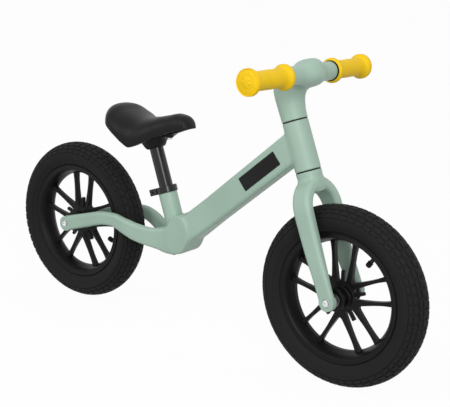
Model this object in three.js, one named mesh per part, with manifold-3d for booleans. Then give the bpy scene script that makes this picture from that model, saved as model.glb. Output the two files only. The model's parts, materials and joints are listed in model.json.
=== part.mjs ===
// A toddler's balance bike: one cast frame, a cast fork and a cast T-shaped handlebar stem, two moulded
// ten-spoke wheels with air tyres, and a saddle that slides in the frame's seat tube.
// Millimetres. X points forward, Y to the rider's left, Z up. The origin is on the ground, midway between
// the two axles.
import * as THREE from "three";
import { mergeVertices, toCreasedNormals } from "three/addons/utils/BufferGeometryUtils.js";
import Module from "manifold-3d";

const wasm = await Module();
wasm.setup();
const { degToRad } = THREE.MathUtils;

// ---------------------------------------------------------------- driving dimensions
const SEAT_GAP = 0.3; // between two pieces that touch

const WHEELBASE = 580;
const TYRE_RADIUS = 149;
const TYRE_WIDTH = 52;
const TYRE_WALL = 3;
const BEAD_HALF_WIDTH = 17;
const TUBE_WALL = 1.2;
const RIM_LIP_RADIUS = 107;
const RIM_LIP_WALL = 3;
const RIM_WELL_DEPTH = 11;
const RIM_OPENING_RADIUS = 90;
const FLANGE_STEP = 5.5; // rim's inner edge beyond the spokes' faces, on each side
const FLANGE_DEPTH = 8; // slanting face between the rim's inner edge and its lip
const VALVE_RADIUS = 3.4;
const VALVE_BORE_RADIUS = 1.8;
const VALVE_LENGTH = 13;
const VALVE_CAP_RADIUS = 4.6;
const VALVE_CAP_LENGTH = 9;

const SPOKE_PAIRS = 5;
const SPOKE_DEPTH = 13;
const SPOKE_ROOT_WIDTH = 10;
const SPOKE_WAIST_WIDTH = 6;
const SPOKE_RIM_WIDTH = 9;
const PAIR_ROOT_SPREAD = 13; // from the pair's middle line to each spoke's, at the hub
const PAIR_RIM_SPREAD = 20.5;
const SPOKE_ROOT_SINK = 3; // how far spokes and pegs are sunk into the hub
const PEG_LENGTH = 16;
const PEG_WIDTH = 6;
const FRONT_WHEEL_TURN = -2; // degrees from one pair standing straight up
const REAR_WHEEL_TURN = 72;

const HUB_RADIUS = 27;
const HUB_END_RADIUS = 19;
const HUB_WAIST_RADIUS = 16;
const HUB_HALF_LENGTH = 26;
const HUB_END_DEPTH = 5;
const HUB_END_FLARE = 4;
const HUB_LEDGE = 3; // shoulder that each bearing sits against
const BEARING_BORE_RADIUS = 5.3;
const BEARING_RADIUS = 11;
const BEARING_WIDTH = 6;
const BEARING_SHIELD_DEPTH = 0.5;
const SLEEVE_WALL = 2;
const SPACER_WALL = 3;

const DROPOUT_RADIUS = 14.5;
const DROPOUT_THICKNESS = 11;
const AXLE_BOLT_RADIUS = 3;
const AXLE_BOLT_LENGTH = 26;
const AXLE_BOLT_HEAD_RADIUS = 5.4;
const AXLE_BOLT_HEAD_HEIGHT = 3.3;
const AXLE_WASHER_RADIUS = 6.6;
const AXLE_WASHER_THICKNESS = 1.5;
const COUNTERBORE_DEPTH = 3;
const HEX_SOCKET_RADIUS = 2.3;

const HEAD_ANGLE = 66.9; // degrees between the steering axis and the ground
const TYRE_SIDE_CLEARANCE = 3.5;
const TYRE_CROWN_CLEARANCE = 17;
const BLADE_WIDTH = 34;
const BLADE_THICKNESS = 19;
const CROWN_HEIGHT = 39; // from the fork's crotch to the top of its neck
const NECK_RADIUS = 18;
const HEAD_TUBE_RADIUS = 20;
const HEAD_TUBE_LENGTH = 80;
const HEAD_TUBE_BORE_RADIUS = 14.8;
const DUST_RING_HEIGHT = 1.3;
const DUST_RING_INSET = 0.7;
const STEERER_RADIUS = 12.7;
const STEERER_WALL = 2.2;
const HEAD_BEARING_RADIUS = 17;
const HEAD_BEARING_WIDTH = 7;
const STEERER_FLOOR = 6; // metal left between the steerer socket and the fork's crotch

const STEM_RISE = 62.5; // from the stem's foot to the handlebar's middle line
const STEM_REACH = 47.5; // from the steering axis forward to the handlebar's middle line
const STEM_SOCKET_DEPTH = 42;
const STEM_BULGE_RADIUS = 25;
const STEM_ARM_RADIUS = 13.6;
const STEM_BULGE_SPREAD = 36;
const STEM_HALF_WIDTH = 62;
const STEM_SCREW_RADIUS = 3;
const STEM_SCREW_LENGTH = 6.5;
const STEM_SCREW_HEIGHTS = [12, 28];

const BAR_RADIUS = 11.1;
const BAR_WALL = 1.8;
const BAR_REVEAL = 1.6; // bare tube between the stem's arm and the grip
const GRIP_LENGTH = 100;
const GRIP_RADIUS = 14.8;
const GRIP_COLLAR_RADIUS = 20.2;
const GRIP_COLLAR_WIDTH = 9.5;
const GRIP_KNOB_RADIUS = 20.6;
const GRIP_KNOB_WIDTH = 13;
const GRIP_END_WALL = 5;

const JUNCTION_BEHIND_TYRE_FRONT = 105; // from the rear tyre's foremost point to the junction boss
const JUNCTION_RISE = 31; // junction boss above the axles
const JUNCTION_HALF_HEIGHT = 35;
const JUNCTION_HALF_LENGTH = 24;
const JUNCTION_HALF_WIDTH = 26;
const JUNCTION_EDGE = 4;

const DOWN_TUBE_WIDTH = 34;
const DOWN_TUBE_LOW_HEIGHT = 44;
const DOWN_TUBE_HIGH_HEIGHT = 46.5;
const DOWN_TUBE_CORNER = 12;
const DOWN_TUBE_DROP = 3; // below the middle of the junction boss
const DOWN_TUBE_MEETS_HEAD = 45; // above the head tube's lower end, along the steering axis
const BADGE_LENGTH = 86;
const BADGE_HEIGHT = 22;
const BADGE_THICKNESS = 0.8;
const BADGE_CORNER = 1.5;
const BADGE_BEHIND_HEAD_TUBE = 23;

const STAY_HEIGHT = 29;
const STAY_THICKNESS = 15;
const STAY_CORNER = 5;
const STAY_TUCK_START = 0.52; // share of its length where the stay starts to draw in
const STAY_INSET = 2; // stay's outer face inside the junction boss's face
const STAY_PEAK = 32; // highest point of the stay's middle line above the axle
const YOKE_HEIGHT = 20;
const YOKE_LENGTH = 66;
const YOKE_DROP = 20; // yoke's middle below the junction's middle

const SEAT_TUBE_ANGLE = 68.1;
const SEAT_TUBE_RADIUS = 16.6;
const SEAT_TUBE_LENGTH = 81; // from the junction's height to the tube's mouth
const SEAT_TUBE_BEHIND_JUNCTION = 19;
const SEAT_SLOT_WIDTH = 2.6;
const SEAT_SLOT_LENGTH = 26;
const SEAT_BORE_DEPTH = 101;
const SEAT_POST_RADIUS = 12.5;
const SEAT_POST_WALL = 2;
const SEAT_POST_LENGTH = 156;
const SEAT_POST_INSERTION = 62;
const SEAT_CLAMP_WALL = 2;
const SEAT_CLAMP_HEIGHT = 12;
const SEAT_CLAMP_EAR_REACH = 14;
const SEAT_CLAMP_EAR_WIDTH = 8;
const CLAMP_BOLT_RADIUS = 2.5;
const CLAMP_BOLT_HEAD_RADIUS = 4.4;
const CLAMP_BOLT_HEAD_HEIGHT = 4.5;

const SADDLE_SOCKET_DEPTH = 24.5; // how far the post reaches into the saddle's boss
const SADDLE_LENGTH = 178;
const SADDLE_HALF_WIDTH = 58;
const SADDLE_HEIGHT = 68.9; // highest point above the foot of the saddle's boss
const SADDLE_NOSE_REACH = 80; // nose tip ahead of the boss
const SADDLE_PAD = 13; // soft thickness over the shell
const SADDLE_SKIN = 5; // soft thickness at the skirt
const SADDLE_SHELL_WALL = 3;
const SADDLE_BOSS_RADIUS = 16;
const SADDLE_PIN_RISE = 9; // above the foot of the boss
const SADDLE_PIN_RADIUS = 2.5;
const SADDLE_KEEL_HALF_WIDTH = 7;
const SADDLE_SCREW_RADIUS = 3;
const SADDLE_SCREW_HEAD_RADIUS = 5;
const SADDLE_SCREW_HEAD_HEIGHT = 3.2;
const SADDLE_SCREW_LENGTH = 10;
const SADDLE_SCREW_REACH = 30; // screw in the keel, ahead of the boss

const WHEEL_FACETS = 32;
const ROUND_FACETS = 18;
const SMALL_FACETS = 12;

// ---------------------------------------------------------------- places worked out from the sizes
const AXLE_HALF_LENGTH = TYRE_WIDTH / 2 + TYRE_SIDE_CLEARANCE + BLADE_THICKNESS - DROPOUT_THICKNESS;
const DROPOUT_OUTER = AXLE_HALF_LENGTH + DROPOUT_THICKNESS;
const BLADE_PLANE = TYRE_WIDTH / 2 + TYRE_SIDE_CLEARANCE + BLADE_THICKNESS / 2;

const CROTCH = TYRE_RADIUS + TYRE_CROWN_CLEARANCE; // heights along the steering axis from the front axle
const CROWN_CENTRE = CROTCH - BLADE_PLANE + BLADE_THICKNESS / 2;
const NECK_TOP = CROTCH + CROWN_HEIGHT;
const HEAD_TUBE_LOW = NECK_TOP + DUST_RING_HEIGHT + 2 * SEAT_GAP;
const HEAD_TUBE_HIGH = HEAD_TUBE_LOW + HEAD_TUBE_LENGTH;
const STEM_FOOT = HEAD_TUBE_HIGH + DUST_RING_HEIGHT + 2 * SEAT_GAP;
const BAR_HEIGHT = STEM_FOOT + STEM_RISE;
const STEERER_TOP = STEM_FOOT + STEM_SOCKET_DEPTH - SEAT_GAP;
const STEERER_FOOT = CROTCH + STEERER_FLOOR;
const STEERER_BORE_RADIUS = STEERER_RADIUS + SEAT_GAP;

const JUNCTION_X = TYRE_RADIUS + JUNCTION_BEHIND_TYRE_FRONT - WHEELBASE / 2;
const JUNCTION_Z = TYRE_RADIUS + JUNCTION_RISE;
const SEAT_BORE_RADIUS = SEAT_POST_RADIUS + SEAT_GAP;

const TYRE_SECTION_LOW = RIM_LIP_RADIUS - 2;
const SECTION_RADIUS = (TYRE_RADIUS + TYRE_SECTION_LOW) / 2;
const SECTION_HALF_HEIGHT = (TYRE_RADIUS - TYRE_SECTION_LOW) / 2;
const RIM_WELL_RADIUS = RIM_LIP_RADIUS - RIM_WELL_DEPTH;

// ---------------------------------------------------------------- materials
const paint = { color: 0xa5c4b0, roughness: 0.55, metalness: 0 };
const yellowRubber = { color: 0xf2c21c, roughness: 0.6, metalness: 0 };
const blackNylon = { color: 0x232323, roughness: 0.5, metalness: 0 };
const tyreRubber = { color: 0x1d1d1d, roughness: 0.85, metalness: 0 };
const saddleSkin = { color: 0x2a2928, roughness: 0.5, metalness: 0 };
const blackEnamel = { color: 0x161616, roughness: 0.25, metalness: 0.3 };
const brightSteel = { color: 0xc9ccce, roughness: 0.3, metalness: 0.9 };
const darkSteel = { color: 0x77797b, roughness: 0.4, metalness: 0.9 };
const blackFilm = { color: 0x121212, roughness: 0.35, metalness: 0 };

// ---------------------------------------------------------------- shape helpers
const WELD = 1e-4;
const CREASE = degToRad(35);
const point = (x, y, z) => new THREE.Vector3(x, y, z);

// Joins the corners that a shape shares, drops triangles that close up, and turns the faces outward.
function closed(geometry) {
  const bare = geometry.clone();
  bare.deleteAttribute("normal");
  bare.deleteAttribute("uv");
  const joined = mergeVertices(bare, WELD);
  const corners = joined.index.array;
  const [a, b, c] = [point(), point(), point()];
  const kept = [];
  let volume = 0;
  for (let i = 0; i < corners.length; i += 3) {
    const [p, q, r] = corners.slice(i, i + 3);
    if (p === q || q === r || r === p) continue;
    kept.push([p, q, r]);
    a.fromBufferAttribute(joined.attributes.position, p);
    b.fromBufferAttribute(joined.attributes.position, q);
    c.fromBufferAttribute(joined.attributes.position, r);
    volume += a.dot(b.cross(c));
  }
  const facing = volume < 0 ? ([p, q, r]) => [p, r, q] : (face) => face;
  joined.setIndex(kept.flatMap(facing));
  return joined;
}

function solid(geometry) {
  const shape = closed(geometry);
  const vertProperties = new Float32Array(shape.attributes.position.array);
  const triVerts = new Uint32Array(shape.index.array);
  return new wasm.Manifold(new wasm.Mesh({ numProp: 3, vertProperties, triVerts }));
}

function join(...geometries) {
  return geometries.map(solid).reduce((whole, piece) => whole.add(piece));
}

function cut(whole, ...tools) {
  return tools.map(solid).reduce((left, tool) => left.subtract(tool), whole);
}

function geometryOf(body) {
  const { numProp, vertProperties, triVerts } = body.getMesh();
  const geometry = new THREE.BufferGeometry();
  geometry.setAttribute("position", new THREE.BufferAttribute(vertProperties, numProp));
  geometry.setIndex([...triVerts]);
  return closed(geometry);
}

// Turns an outline of [radius, height] pairs about the Y axis.
function lathe(outline, facets) {
  return closed(new THREE.LatheGeometry(outline.map(([r, y]) => new THREE.Vector2(r, y)), facets));
}

const rod = (radius, low, high, facets = SMALL_FACETS) =>
  lathe([[0, low], [radius, low], [radius, high], [0, high]], facets);

const sleeve = (inner, outer, low, high, facets = SMALL_FACETS) =>
  lathe([[inner, low], [outer, low], [outer, high], [inner, high], [inner, low]], facets);

const mirrored = (outline) => [...outline, ...outline.map(([r, y]) => [r, -y]).reverse()];
const upright = (geometry) => geometry.rotateX(Math.PI / 2); // from the Y axis to the Z axis

const block = (x, y, z, centre = point(0, 0, 0)) =>
  new THREE.BoxGeometry(x, y, z).translate(centre.x, centre.y, centre.z);

// A rectangle with round corners as a ring of points.
function roundedOutline(width, height, corner, steps) {
  const radius = Math.min(corner, width / 2, height / 2);
  const ring = [];
  for (let quarter = 0; quarter < 4; quarter++) {
    const sideX = quarter === 0 || quarter === 3 ? 1 : -1;
    const sideY = quarter < 2 ? 1 : -1;
    for (let step = 0; step <= steps; step++) {
      const angle = ((quarter + step / steps) * Math.PI) / 2;
      const x = sideX * (width / 2 - radius) + radius * Math.cos(angle);
      const y = sideY * (height / 2 - radius) + radius * Math.sin(angle);
      ring.push(new THREE.Vector2(x, y));
    }
  }
  return ring;
}

// Lays a flat outline into space: its x along one direction, its y along another, about a centre.
const laid = (outline, centre, along, up) =>
  outline.map((p) => centre.clone().addScaledVector(along, p.x).addScaledVector(up, p.y));

// A closed body through rings of points, capped flat at both ends.
function loft(rings) {
  const count = rings[0].length;
  const points = rings.flat();
  const faces = [];
  for (let i = 0; i + 1 < rings.length; i++) {
    for (let j = 0; j < count; j++) {
      const [a, b] = [i * count + j, i * count + ((j + 1) % count)];
      faces.push(a, b, b + count, a, b + count, a + count);
    }
  }
  const last = (rings.length - 1) * count;
  const middle = (ring) => ring.reduce((sum, p) => sum.add(p), point(0, 0, 0)).divideScalar(count);
  points.push(middle(rings[0]), middle(rings.at(-1)));
  for (let j = 0; j < count; j++) {
    const next = (j + 1) % count;
    faces.push(points.length - 2, next, j, points.length - 1, last + j, last + next);
  }
  const geometry = new THREE.BufferGeometry().setFromPoints(points);
  geometry.setIndex(faces);
  return closed(geometry);
}

// A smooth height over a length, through [place, value] pairs.
function profile(pairs) {
  const places = pairs.map(([place]) => place);
  const values = pairs.map(([, value]) => value);
  const curve = new THREE.CubicInterpolant(places, values, 1);
  return (place) => curve.evaluate(place)[0];
}

function add(group, name, shape, look) {
  const geometry = toCreasedNormals(shape.getMesh ? geometryOf(shape) : closed(shape), CREASE);
  const mesh = new THREE.Mesh(geometry, new THREE.MeshStandardMaterial(look));
  mesh.name = name;
  group.add(mesh);
  return mesh;
}

// ---------------------------------------------------------------- wheels
const sectionPoint = (degrees, inset) => {
  const angle = degToRad(degrees);
  const radius = SECTION_RADIUS + (SECTION_HALF_HEIGHT - inset) * Math.cos(angle);
  return [radius, (TYRE_WIDTH / 2 - inset) * Math.sin(angle)];
};
const TREAD_ANGLES = [120, 80, 40, 0, -40, -80, -120];
const INNER_ANGLES = [120, 60, 0, -60, -120];

function tyre() {
  const beadLow = RIM_WELL_RADIUS + RIM_LIP_WALL;
  const beadInner = BEAD_HALF_WIDTH - TYRE_WALL;
  const outer = TREAD_ANGLES.map((angle) => sectionPoint(angle, 0));
  const inner = INNER_ANGLES.map((angle) => sectionPoint(-angle, TYRE_WALL));
  const outline = [
    [beadLow, beadInner], [beadLow, BEAD_HALF_WIDTH], [RIM_LIP_RADIUS + SEAT_GAP, BEAD_HALF_WIDTH],
    ...outer,
    [RIM_LIP_RADIUS + SEAT_GAP, -BEAD_HALF_WIDTH], [beadLow, -BEAD_HALF_WIDTH], [beadLow, -beadInner],
    [RIM_LIP_RADIUS, -beadInner],
    ...inner,
    [RIM_LIP_RADIUS, beadInner], [beadLow, beadInner],
  ];
  return lathe(outline, WHEEL_FACETS);
}

// A round rod that points from the rim to the hub, along the valve's direction.
const VALVE_ANGLE = Math.PI / SPOKE_PAIRS;
const radial = (geometry) => upright(geometry).rotateY(VALVE_ANGLE);

function innerTube() {
  const inset = TYRE_WALL + SEAT_GAP;
  const ring = (depth) => [180, ...INNER_ANGLES, 180].map((angle) => sectionPoint(angle, depth));
  const valveTop = SECTION_RADIUS - SECTION_HALF_HEIGHT + inset + 2 * TUBE_WALL;
  const valveTip = RIM_OPENING_RADIUS - VALVE_LENGTH;
  const body = join(lathe(ring(inset), WHEEL_FACETS), radial(rod(VALVE_RADIUS, valveTip, valveTop)));
  const hollow = lathe(ring(inset + TUBE_WALL), WHEEL_FACETS);
  return cut(body, hollow, radial(rod(VALVE_BORE_RADIUS, valveTip - 1, SECTION_RADIUS)));
}

function valveCap() {
  const mouth = RIM_OPENING_RADIUS - VALVE_LENGTH + VALVE_CAP_LENGTH / 2;
  const bore = VALVE_RADIUS + SEAT_GAP;
  const floor = RIM_OPENING_RADIUS - VALVE_LENGTH - SEAT_GAP;
  const tip = mouth - VALVE_CAP_LENGTH;
  const outline = [
    [0, tip], [VALVE_CAP_RADIUS - 1, tip], [VALVE_CAP_RADIUS, tip + 1], [VALVE_CAP_RADIUS, mouth],
    [bore, mouth], [bore, floor], [0, floor],
  ];
  return radial(lathe(outline, SMALL_FACETS));
}

function spoke(side) {
  const rimMiddle = (RIM_OPENING_RADIUS + RIM_WELL_RADIUS) / 2;
  const rootReach = HUB_RADIUS - SPOKE_ROOT_SINK;
  const rimReach = Math.sqrt(rimMiddle ** 2 - PAIR_RIM_SPREAD ** 2);
  const stations = [[0, SPOKE_ROOT_WIDTH], [0.6, SPOKE_WAIST_WIDTH], [1, SPOKE_RIM_WIDTH]];
  const rings = stations.map(([share, width]) => {
    const offset = side * THREE.MathUtils.lerp(PAIR_ROOT_SPREAD, PAIR_RIM_SPREAD, share);
    const centre = point(offset, 0, THREE.MathUtils.lerp(rootReach, rimReach, share));
    return laid(roundedOutline(width, SPOKE_DEPTH, width / 4, 1), centre, point(1, 0, 0), point(0, 1, 0));
  });
  return loft(rings);
}

function rim() {
  const lipInner = BEAD_HALF_WIDTH + SEAT_GAP;
  const lipOuter = lipInner + RIM_LIP_WALL;
  const flange = SPOKE_DEPTH / 2 + FLANGE_STEP;
  const half = [
    [RIM_OPENING_RADIUS, flange], [RIM_LIP_RADIUS - FLANGE_DEPTH, lipOuter],
    [RIM_LIP_RADIUS, lipOuter - 1], [RIM_LIP_RADIUS, lipInner],
    [RIM_WELL_RADIUS + RIM_LIP_WALL - SEAT_GAP, lipInner], [RIM_WELL_RADIUS, lipInner - RIM_LIP_WALL],
  ];
  const barrel = lathe([...mirrored(half), half[0]], WHEEL_FACETS);
  const outside = [
    [HUB_RADIUS, SPOKE_DEPTH / 2], [HUB_WAIST_RADIUS, HUB_HALF_LENGTH - HUB_END_DEPTH - HUB_END_FLARE],
    [HUB_END_RADIUS, HUB_HALF_LENGTH - HUB_END_DEPTH], [HUB_END_RADIUS, HUB_HALF_LENGTH],
  ];
  const seat = HUB_HALF_LENGTH - BEARING_WIDTH - SEAT_GAP;
  const seatRadius = BEARING_RADIUS + SEAT_GAP;
  const inside = [[seatRadius, HUB_HALF_LENGTH], [seatRadius, seat], [BEARING_RADIUS - HUB_LEDGE, seat]];
  const hubHalf = [...outside, ...inside];
  const hub = lathe([...mirrored(hubHalf), hubHalf[0]], ROUND_FACETS);
  const pieces = [barrel, hub];
  for (let pair = 0; pair < SPOKE_PAIRS; pair++) {
    const turn = (2 * Math.PI * pair) / SPOKE_PAIRS;
    const pegCentre = point(0, 0, HUB_RADIUS - SPOKE_ROOT_SINK + PEG_LENGTH / 2);
    const peg = block(PEG_WIDTH, SPOKE_DEPTH, PEG_LENGTH, pegCentre);
    for (const piece of [spoke(-1), spoke(1), peg]) pieces.push(piece.rotateY(turn));
  }
  const valveHole = radial(rod(VALVE_RADIUS + SEAT_GAP, RIM_OPENING_RADIUS - 2, RIM_LIP_RADIUS));
  return cut(join(...pieces), valveHole);
}

function bearing(bore, radius, width, facets) {
  const [low, high] = [-width / 2, width / 2];
  const race = (radius - bore) / 4;
  const shield = low + BEARING_SHIELD_DEPTH;
  const outline = [
    [bore, low], [bore + race, low], [bore + race, shield], [radius - race, shield], [radius - race, low],
    [radius, low], [radius, high], [bore, high], [bore, low],
  ];
  return lathe(outline, facets);
}

function addWheel(bike, name, x, turn) {
  const wheel = new THREE.Group();
  wheel.position.set(x, 0, TYRE_RADIUS);
  wheel.rotation.y = degToRad(turn);
  bike.add(wheel);
  add(wheel, `${name}_tyre`, tyre(), tyreRubber);
  add(wheel, `${name}_inner_tube`, innerTube(), tyreRubber);
  add(wheel, `${name}_valve_cap`, valveCap(), blackNylon);
  add(wheel, `${name}_rim`, rim(), blackNylon);
  const bearingPlane = HUB_HALF_LENGTH - BEARING_WIDTH / 2;
  const sleeveEnd = HUB_HALF_LENGTH - BEARING_WIDTH - SEAT_GAP;
  for (const [side, sign] of [["left", 1], ["right", -1]]) {
    const race = bearing(BEARING_BORE_RADIUS, BEARING_RADIUS, BEARING_WIDTH, SMALL_FACETS);
    const mesh = add(wheel, `${name}_bearing_${side}`, race, darkSteel);
    mesh.position.y = sign * bearingPlane;
    mesh.rotation.x = sign > 0 ? Math.PI : 0; // shields face outward
  }
  const tube = sleeve(BEARING_BORE_RADIUS, BEARING_BORE_RADIUS + SLEEVE_WALL, -sleeveEnd, sleeveEnd);
  add(wheel, `${name}_bearing_sleeve`, tube, darkSteel);
}

// ---------------------------------------------------------------- axles
const BOLT_SEAT = DROPOUT_OUTER - COUNTERBORE_DEPTH; // floor of the recess in each dropout's outer face
const WASHER_LOW = BOLT_SEAT + SEAT_GAP;
const HEAD_LOW = WASHER_LOW + AXLE_WASHER_THICKNESS + SEAT_GAP;
const BOLT_HOLE_RADIUS = AXLE_BOLT_RADIUS + SEAT_GAP;

// A button-head bolt along the Y axis, its head at the top.
function buttonBolt(radius, headRadius, headHeight, seat, length) {
  const top = seat + headHeight;
  const outline = [
    [0, seat - length], [radius, seat - length], [radius, seat], [headRadius, seat],
    [headRadius, seat + headHeight / 3], [headRadius * 0.75, top - headHeight / 6],
    [HEX_SOCKET_RADIUS, top],
    [HEX_SOCKET_RADIUS, top - headHeight / 2], [0, top - headHeight / 2],
  ];
  return lathe(outline, SMALL_FACETS);
}

// A hexagonal nut along the Y axis.
function nut(bore, radius, low, high) {
  return cut(solid(rod(radius, low, high, 6)), rod(bore, low - 1, high + 1));
}

function axle() {
  const end = AXLE_HALF_LENGTH - SEAT_GAP;
  const floor = HEAD_LOW - AXLE_BOLT_LENGTH - SEAT_GAP;
  const radius = BEARING_BORE_RADIUS - SEAT_GAP;
  const half = [[0, floor], [BOLT_HOLE_RADIUS, floor], [BOLT_HOLE_RADIUS, end], [radius, end]];
  return lathe(mirrored(half), SMALL_FACETS);
}

function addAxle(group, name) {
  add(group, `${name}_axle`, axle(), darkSteel);
  for (const [side, turn] of [["left", 0], ["right", Math.PI]]) {
    const [radius, headRadius, headHeight] = [AXLE_BOLT_RADIUS, AXLE_BOLT_HEAD_RADIUS, AXLE_BOLT_HEAD_HEIGHT];
    const bolt = buttonBolt(radius, headRadius, headHeight, HEAD_LOW, AXLE_BOLT_LENGTH);
    const washerTop = WASHER_LOW + AXLE_WASHER_THICKNESS;
    const washer = sleeve(BOLT_HOLE_RADIUS, AXLE_WASHER_RADIUS, WASHER_LOW, washerTop);
    const outer = BEARING_BORE_RADIUS + SPACER_WALL;
    const [spacerLow, spacerHigh] = [HUB_HALF_LENGTH + SEAT_GAP, AXLE_HALF_LENGTH - SEAT_GAP];
    const spacer = sleeve(BEARING_BORE_RADIUS, outer, spacerLow, spacerHigh);
    add(group, `${name}_axle_bolt_${side}`, bolt, brightSteel).rotation.z = turn;
    add(group, `${name}_axle_washer_${side}`, washer, brightSteel).rotation.z = turn;
    add(group, `${name}_axle_spacer_${side}`, spacer, darkSteel).rotation.z = turn;
  }
}

// The round end that an axle bolts to, and what is drilled out of it. Both lie along the Y axis.
const dropout = () => rod(DROPOUT_RADIUS, AXLE_HALF_LENGTH, DROPOUT_OUTER, ROUND_FACETS);
const dropoutHoles = () => [
  rod(BOLT_HOLE_RADIUS, AXLE_HALF_LENGTH - 1, DROPOUT_OUTER + 1),
  rod(AXLE_WASHER_RADIUS + SEAT_GAP, BOLT_SEAT, DROPOUT_OUTER + 1, ROUND_FACETS),
];
const bothSides = (make) => [...make(), ...make().map((geometry) => geometry.rotateZ(Math.PI))];

// ---------------------------------------------------------------- steering
// Everything here is built with its Z axis along the steering axis and its origin at the front axle.
function fork() {
  const leg = [
    [0, 2 * DROPOUT_RADIUS, DROPOUT_THICKNESS],
    [DROPOUT_RADIUS * 1.5, 2 * DROPOUT_RADIUS, DROPOUT_THICKNESS],
    [DROPOUT_RADIUS * 3.6, (2 * DROPOUT_RADIUS + BLADE_WIDTH) / 2, BLADE_THICKNESS - 1],
    [CROWN_CENTRE * 0.72, BLADE_WIDTH - 1, BLADE_THICKNESS],
    [CROWN_CENTRE, BLADE_WIDTH, BLADE_THICKNESS],
  ];
  const corner = BLADE_THICKNESS / 3;
  const right = leg.map(([height, width, thickness]) => {
    const centre = point(0, thickness / 2 - DROPOUT_OUTER, height);
    return laid(roundedOutline(width, thickness, corner, 2), centre, point(1, 0, 0), point(0, 1, 0));
  });
  const crownSteps = 8;
  const crown = [];
  for (let step = 1; step < crownSteps; step++) {
    const angle = (Math.PI * step) / crownSteps;
    const inward = point(0, Math.cos(angle), -Math.sin(angle));
    const centre = point(0, 0, CROWN_CENTRE).addScaledVector(inward, -BLADE_PLANE);
    const outline = roundedOutline(BLADE_WIDTH, BLADE_THICKNESS, corner, 2);
    crown.push(laid(outline, centre, point(1, 0, 0), inward));
  }
  const left = right.map((ring) => ring.map((p) => point(p.x, -p.y, p.z))).reverse();
  const blades = loft([...right, ...crown, ...left]);
  const neck = upright(lathe([
    [0, CROTCH + BLADE_THICKNESS / 4], [NECK_RADIUS, CROTCH + BLADE_THICKNESS / 4],
    [NECK_RADIUS, NECK_TOP - CROWN_HEIGHT / 3], [HEAD_TUBE_RADIUS, NECK_TOP - CROWN_HEIGHT / 6],
    [HEAD_TUBE_RADIUS, NECK_TOP], [0, NECK_TOP],
  ], ROUND_FACETS));
  const socket = upright(rod(STEERER_BORE_RADIUS, STEERER_FOOT, NECK_TOP + 1, ROUND_FACETS));
  const body = join(blades, neck, ...bothSides(() => [dropout()]));
  return cut(body, socket, ...bothSides(dropoutHoles));
}

function handlebarStem() {
  // Each station: share of the rise to the handlebar, share of the reach added in front, and swell.
  const stations = [
    [0, 0, 1], [0.3, 0.03, 1.02], [0.54, 0.14, 1.05], [0.7, 0.32, 1.07], [0.86, 0.57, 1.05], [1, 0.6, 0.9],
    [1.09, 0.56, 0.65], [1.14, 0.5, 0.3],
  ];
  const neck = loft(stations.map(([rise, lead, swell]) => {
    const back = HEAD_TUBE_RADIUS * swell;
    const front = HEAD_TUBE_RADIUS * Math.min(swell, 1.02) + STEM_REACH * lead;
    const outline = new THREE.EllipseCurve(0, 0, (back + front) / 2, back).getPoints(ROUND_FACETS).slice(1);
    const centre = point((front - back) / 2, 0, STEM_FOOT + STEM_RISE * rise);
    return laid(outline, centre, point(1, 0, 0), point(0, 1, 0));
  }));
  const armRadius = (y) =>
    STEM_ARM_RADIUS + (STEM_BULGE_RADIUS - STEM_ARM_RADIUS) * Math.exp(-((y / STEM_BULGE_SPREAD) ** 2));
  const steps = 12;
  const arm = [];
  for (let step = 0; step <= steps; step++) {
    const y = STEM_HALF_WIDTH * ((2 * step) / steps - 1);
    arm.push([armRadius(y), y]);
  }
  const arms = lathe([[0, -STEM_HALF_WIDTH], ...arm, [0, STEM_HALF_WIDTH]], ROUND_FACETS);
  const socketTop = STEM_FOOT + STEM_SOCKET_DEPTH;
  const socket = upright(rod(STEERER_BORE_RADIUS, STEM_FOOT - 1, socketTop, ROUND_FACETS));
  const barHole = rod(BAR_RADIUS + SEAT_GAP, -STEM_HALF_WIDTH - 1, STEM_HALF_WIDTH + 1, ROUND_FACETS);
  const screwHoles = STEM_SCREW_HEIGHTS.map((height) =>
    rod(STEM_SCREW_RADIUS + SEAT_GAP, STEERER_RADIUS, HEAD_TUBE_RADIUS + 2)
      .rotateZ(Math.PI / 2)
      .translate(0, 0, STEM_FOOT + height));
  const body = join(neck, arms.translate(STEM_REACH, 0, BAR_HEIGHT));
  return cut(body, socket, barHole.translate(STEM_REACH, 0, BAR_HEIGHT), ...screwHoles);
}

function stemScrew() {
  const inner = STEERER_RADIUS + SEAT_GAP;
  const outer = inner + STEM_SCREW_LENGTH;
  const socket = STEM_SCREW_RADIUS / 2;
  const outline = [
    [0, inner], [STEM_SCREW_RADIUS, inner], [STEM_SCREW_RADIUS, outer], [socket, outer],
    [socket, outer - socket * 1.6], [0, outer - socket * 1.6],
  ];
  return lathe(outline, SMALL_FACETS).rotateZ(Math.PI / 2);
}

const GRIP_INNER = STEM_HALF_WIDTH + BAR_REVEAL;
const GRIP_OUTER = GRIP_INNER + GRIP_LENGTH;

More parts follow.
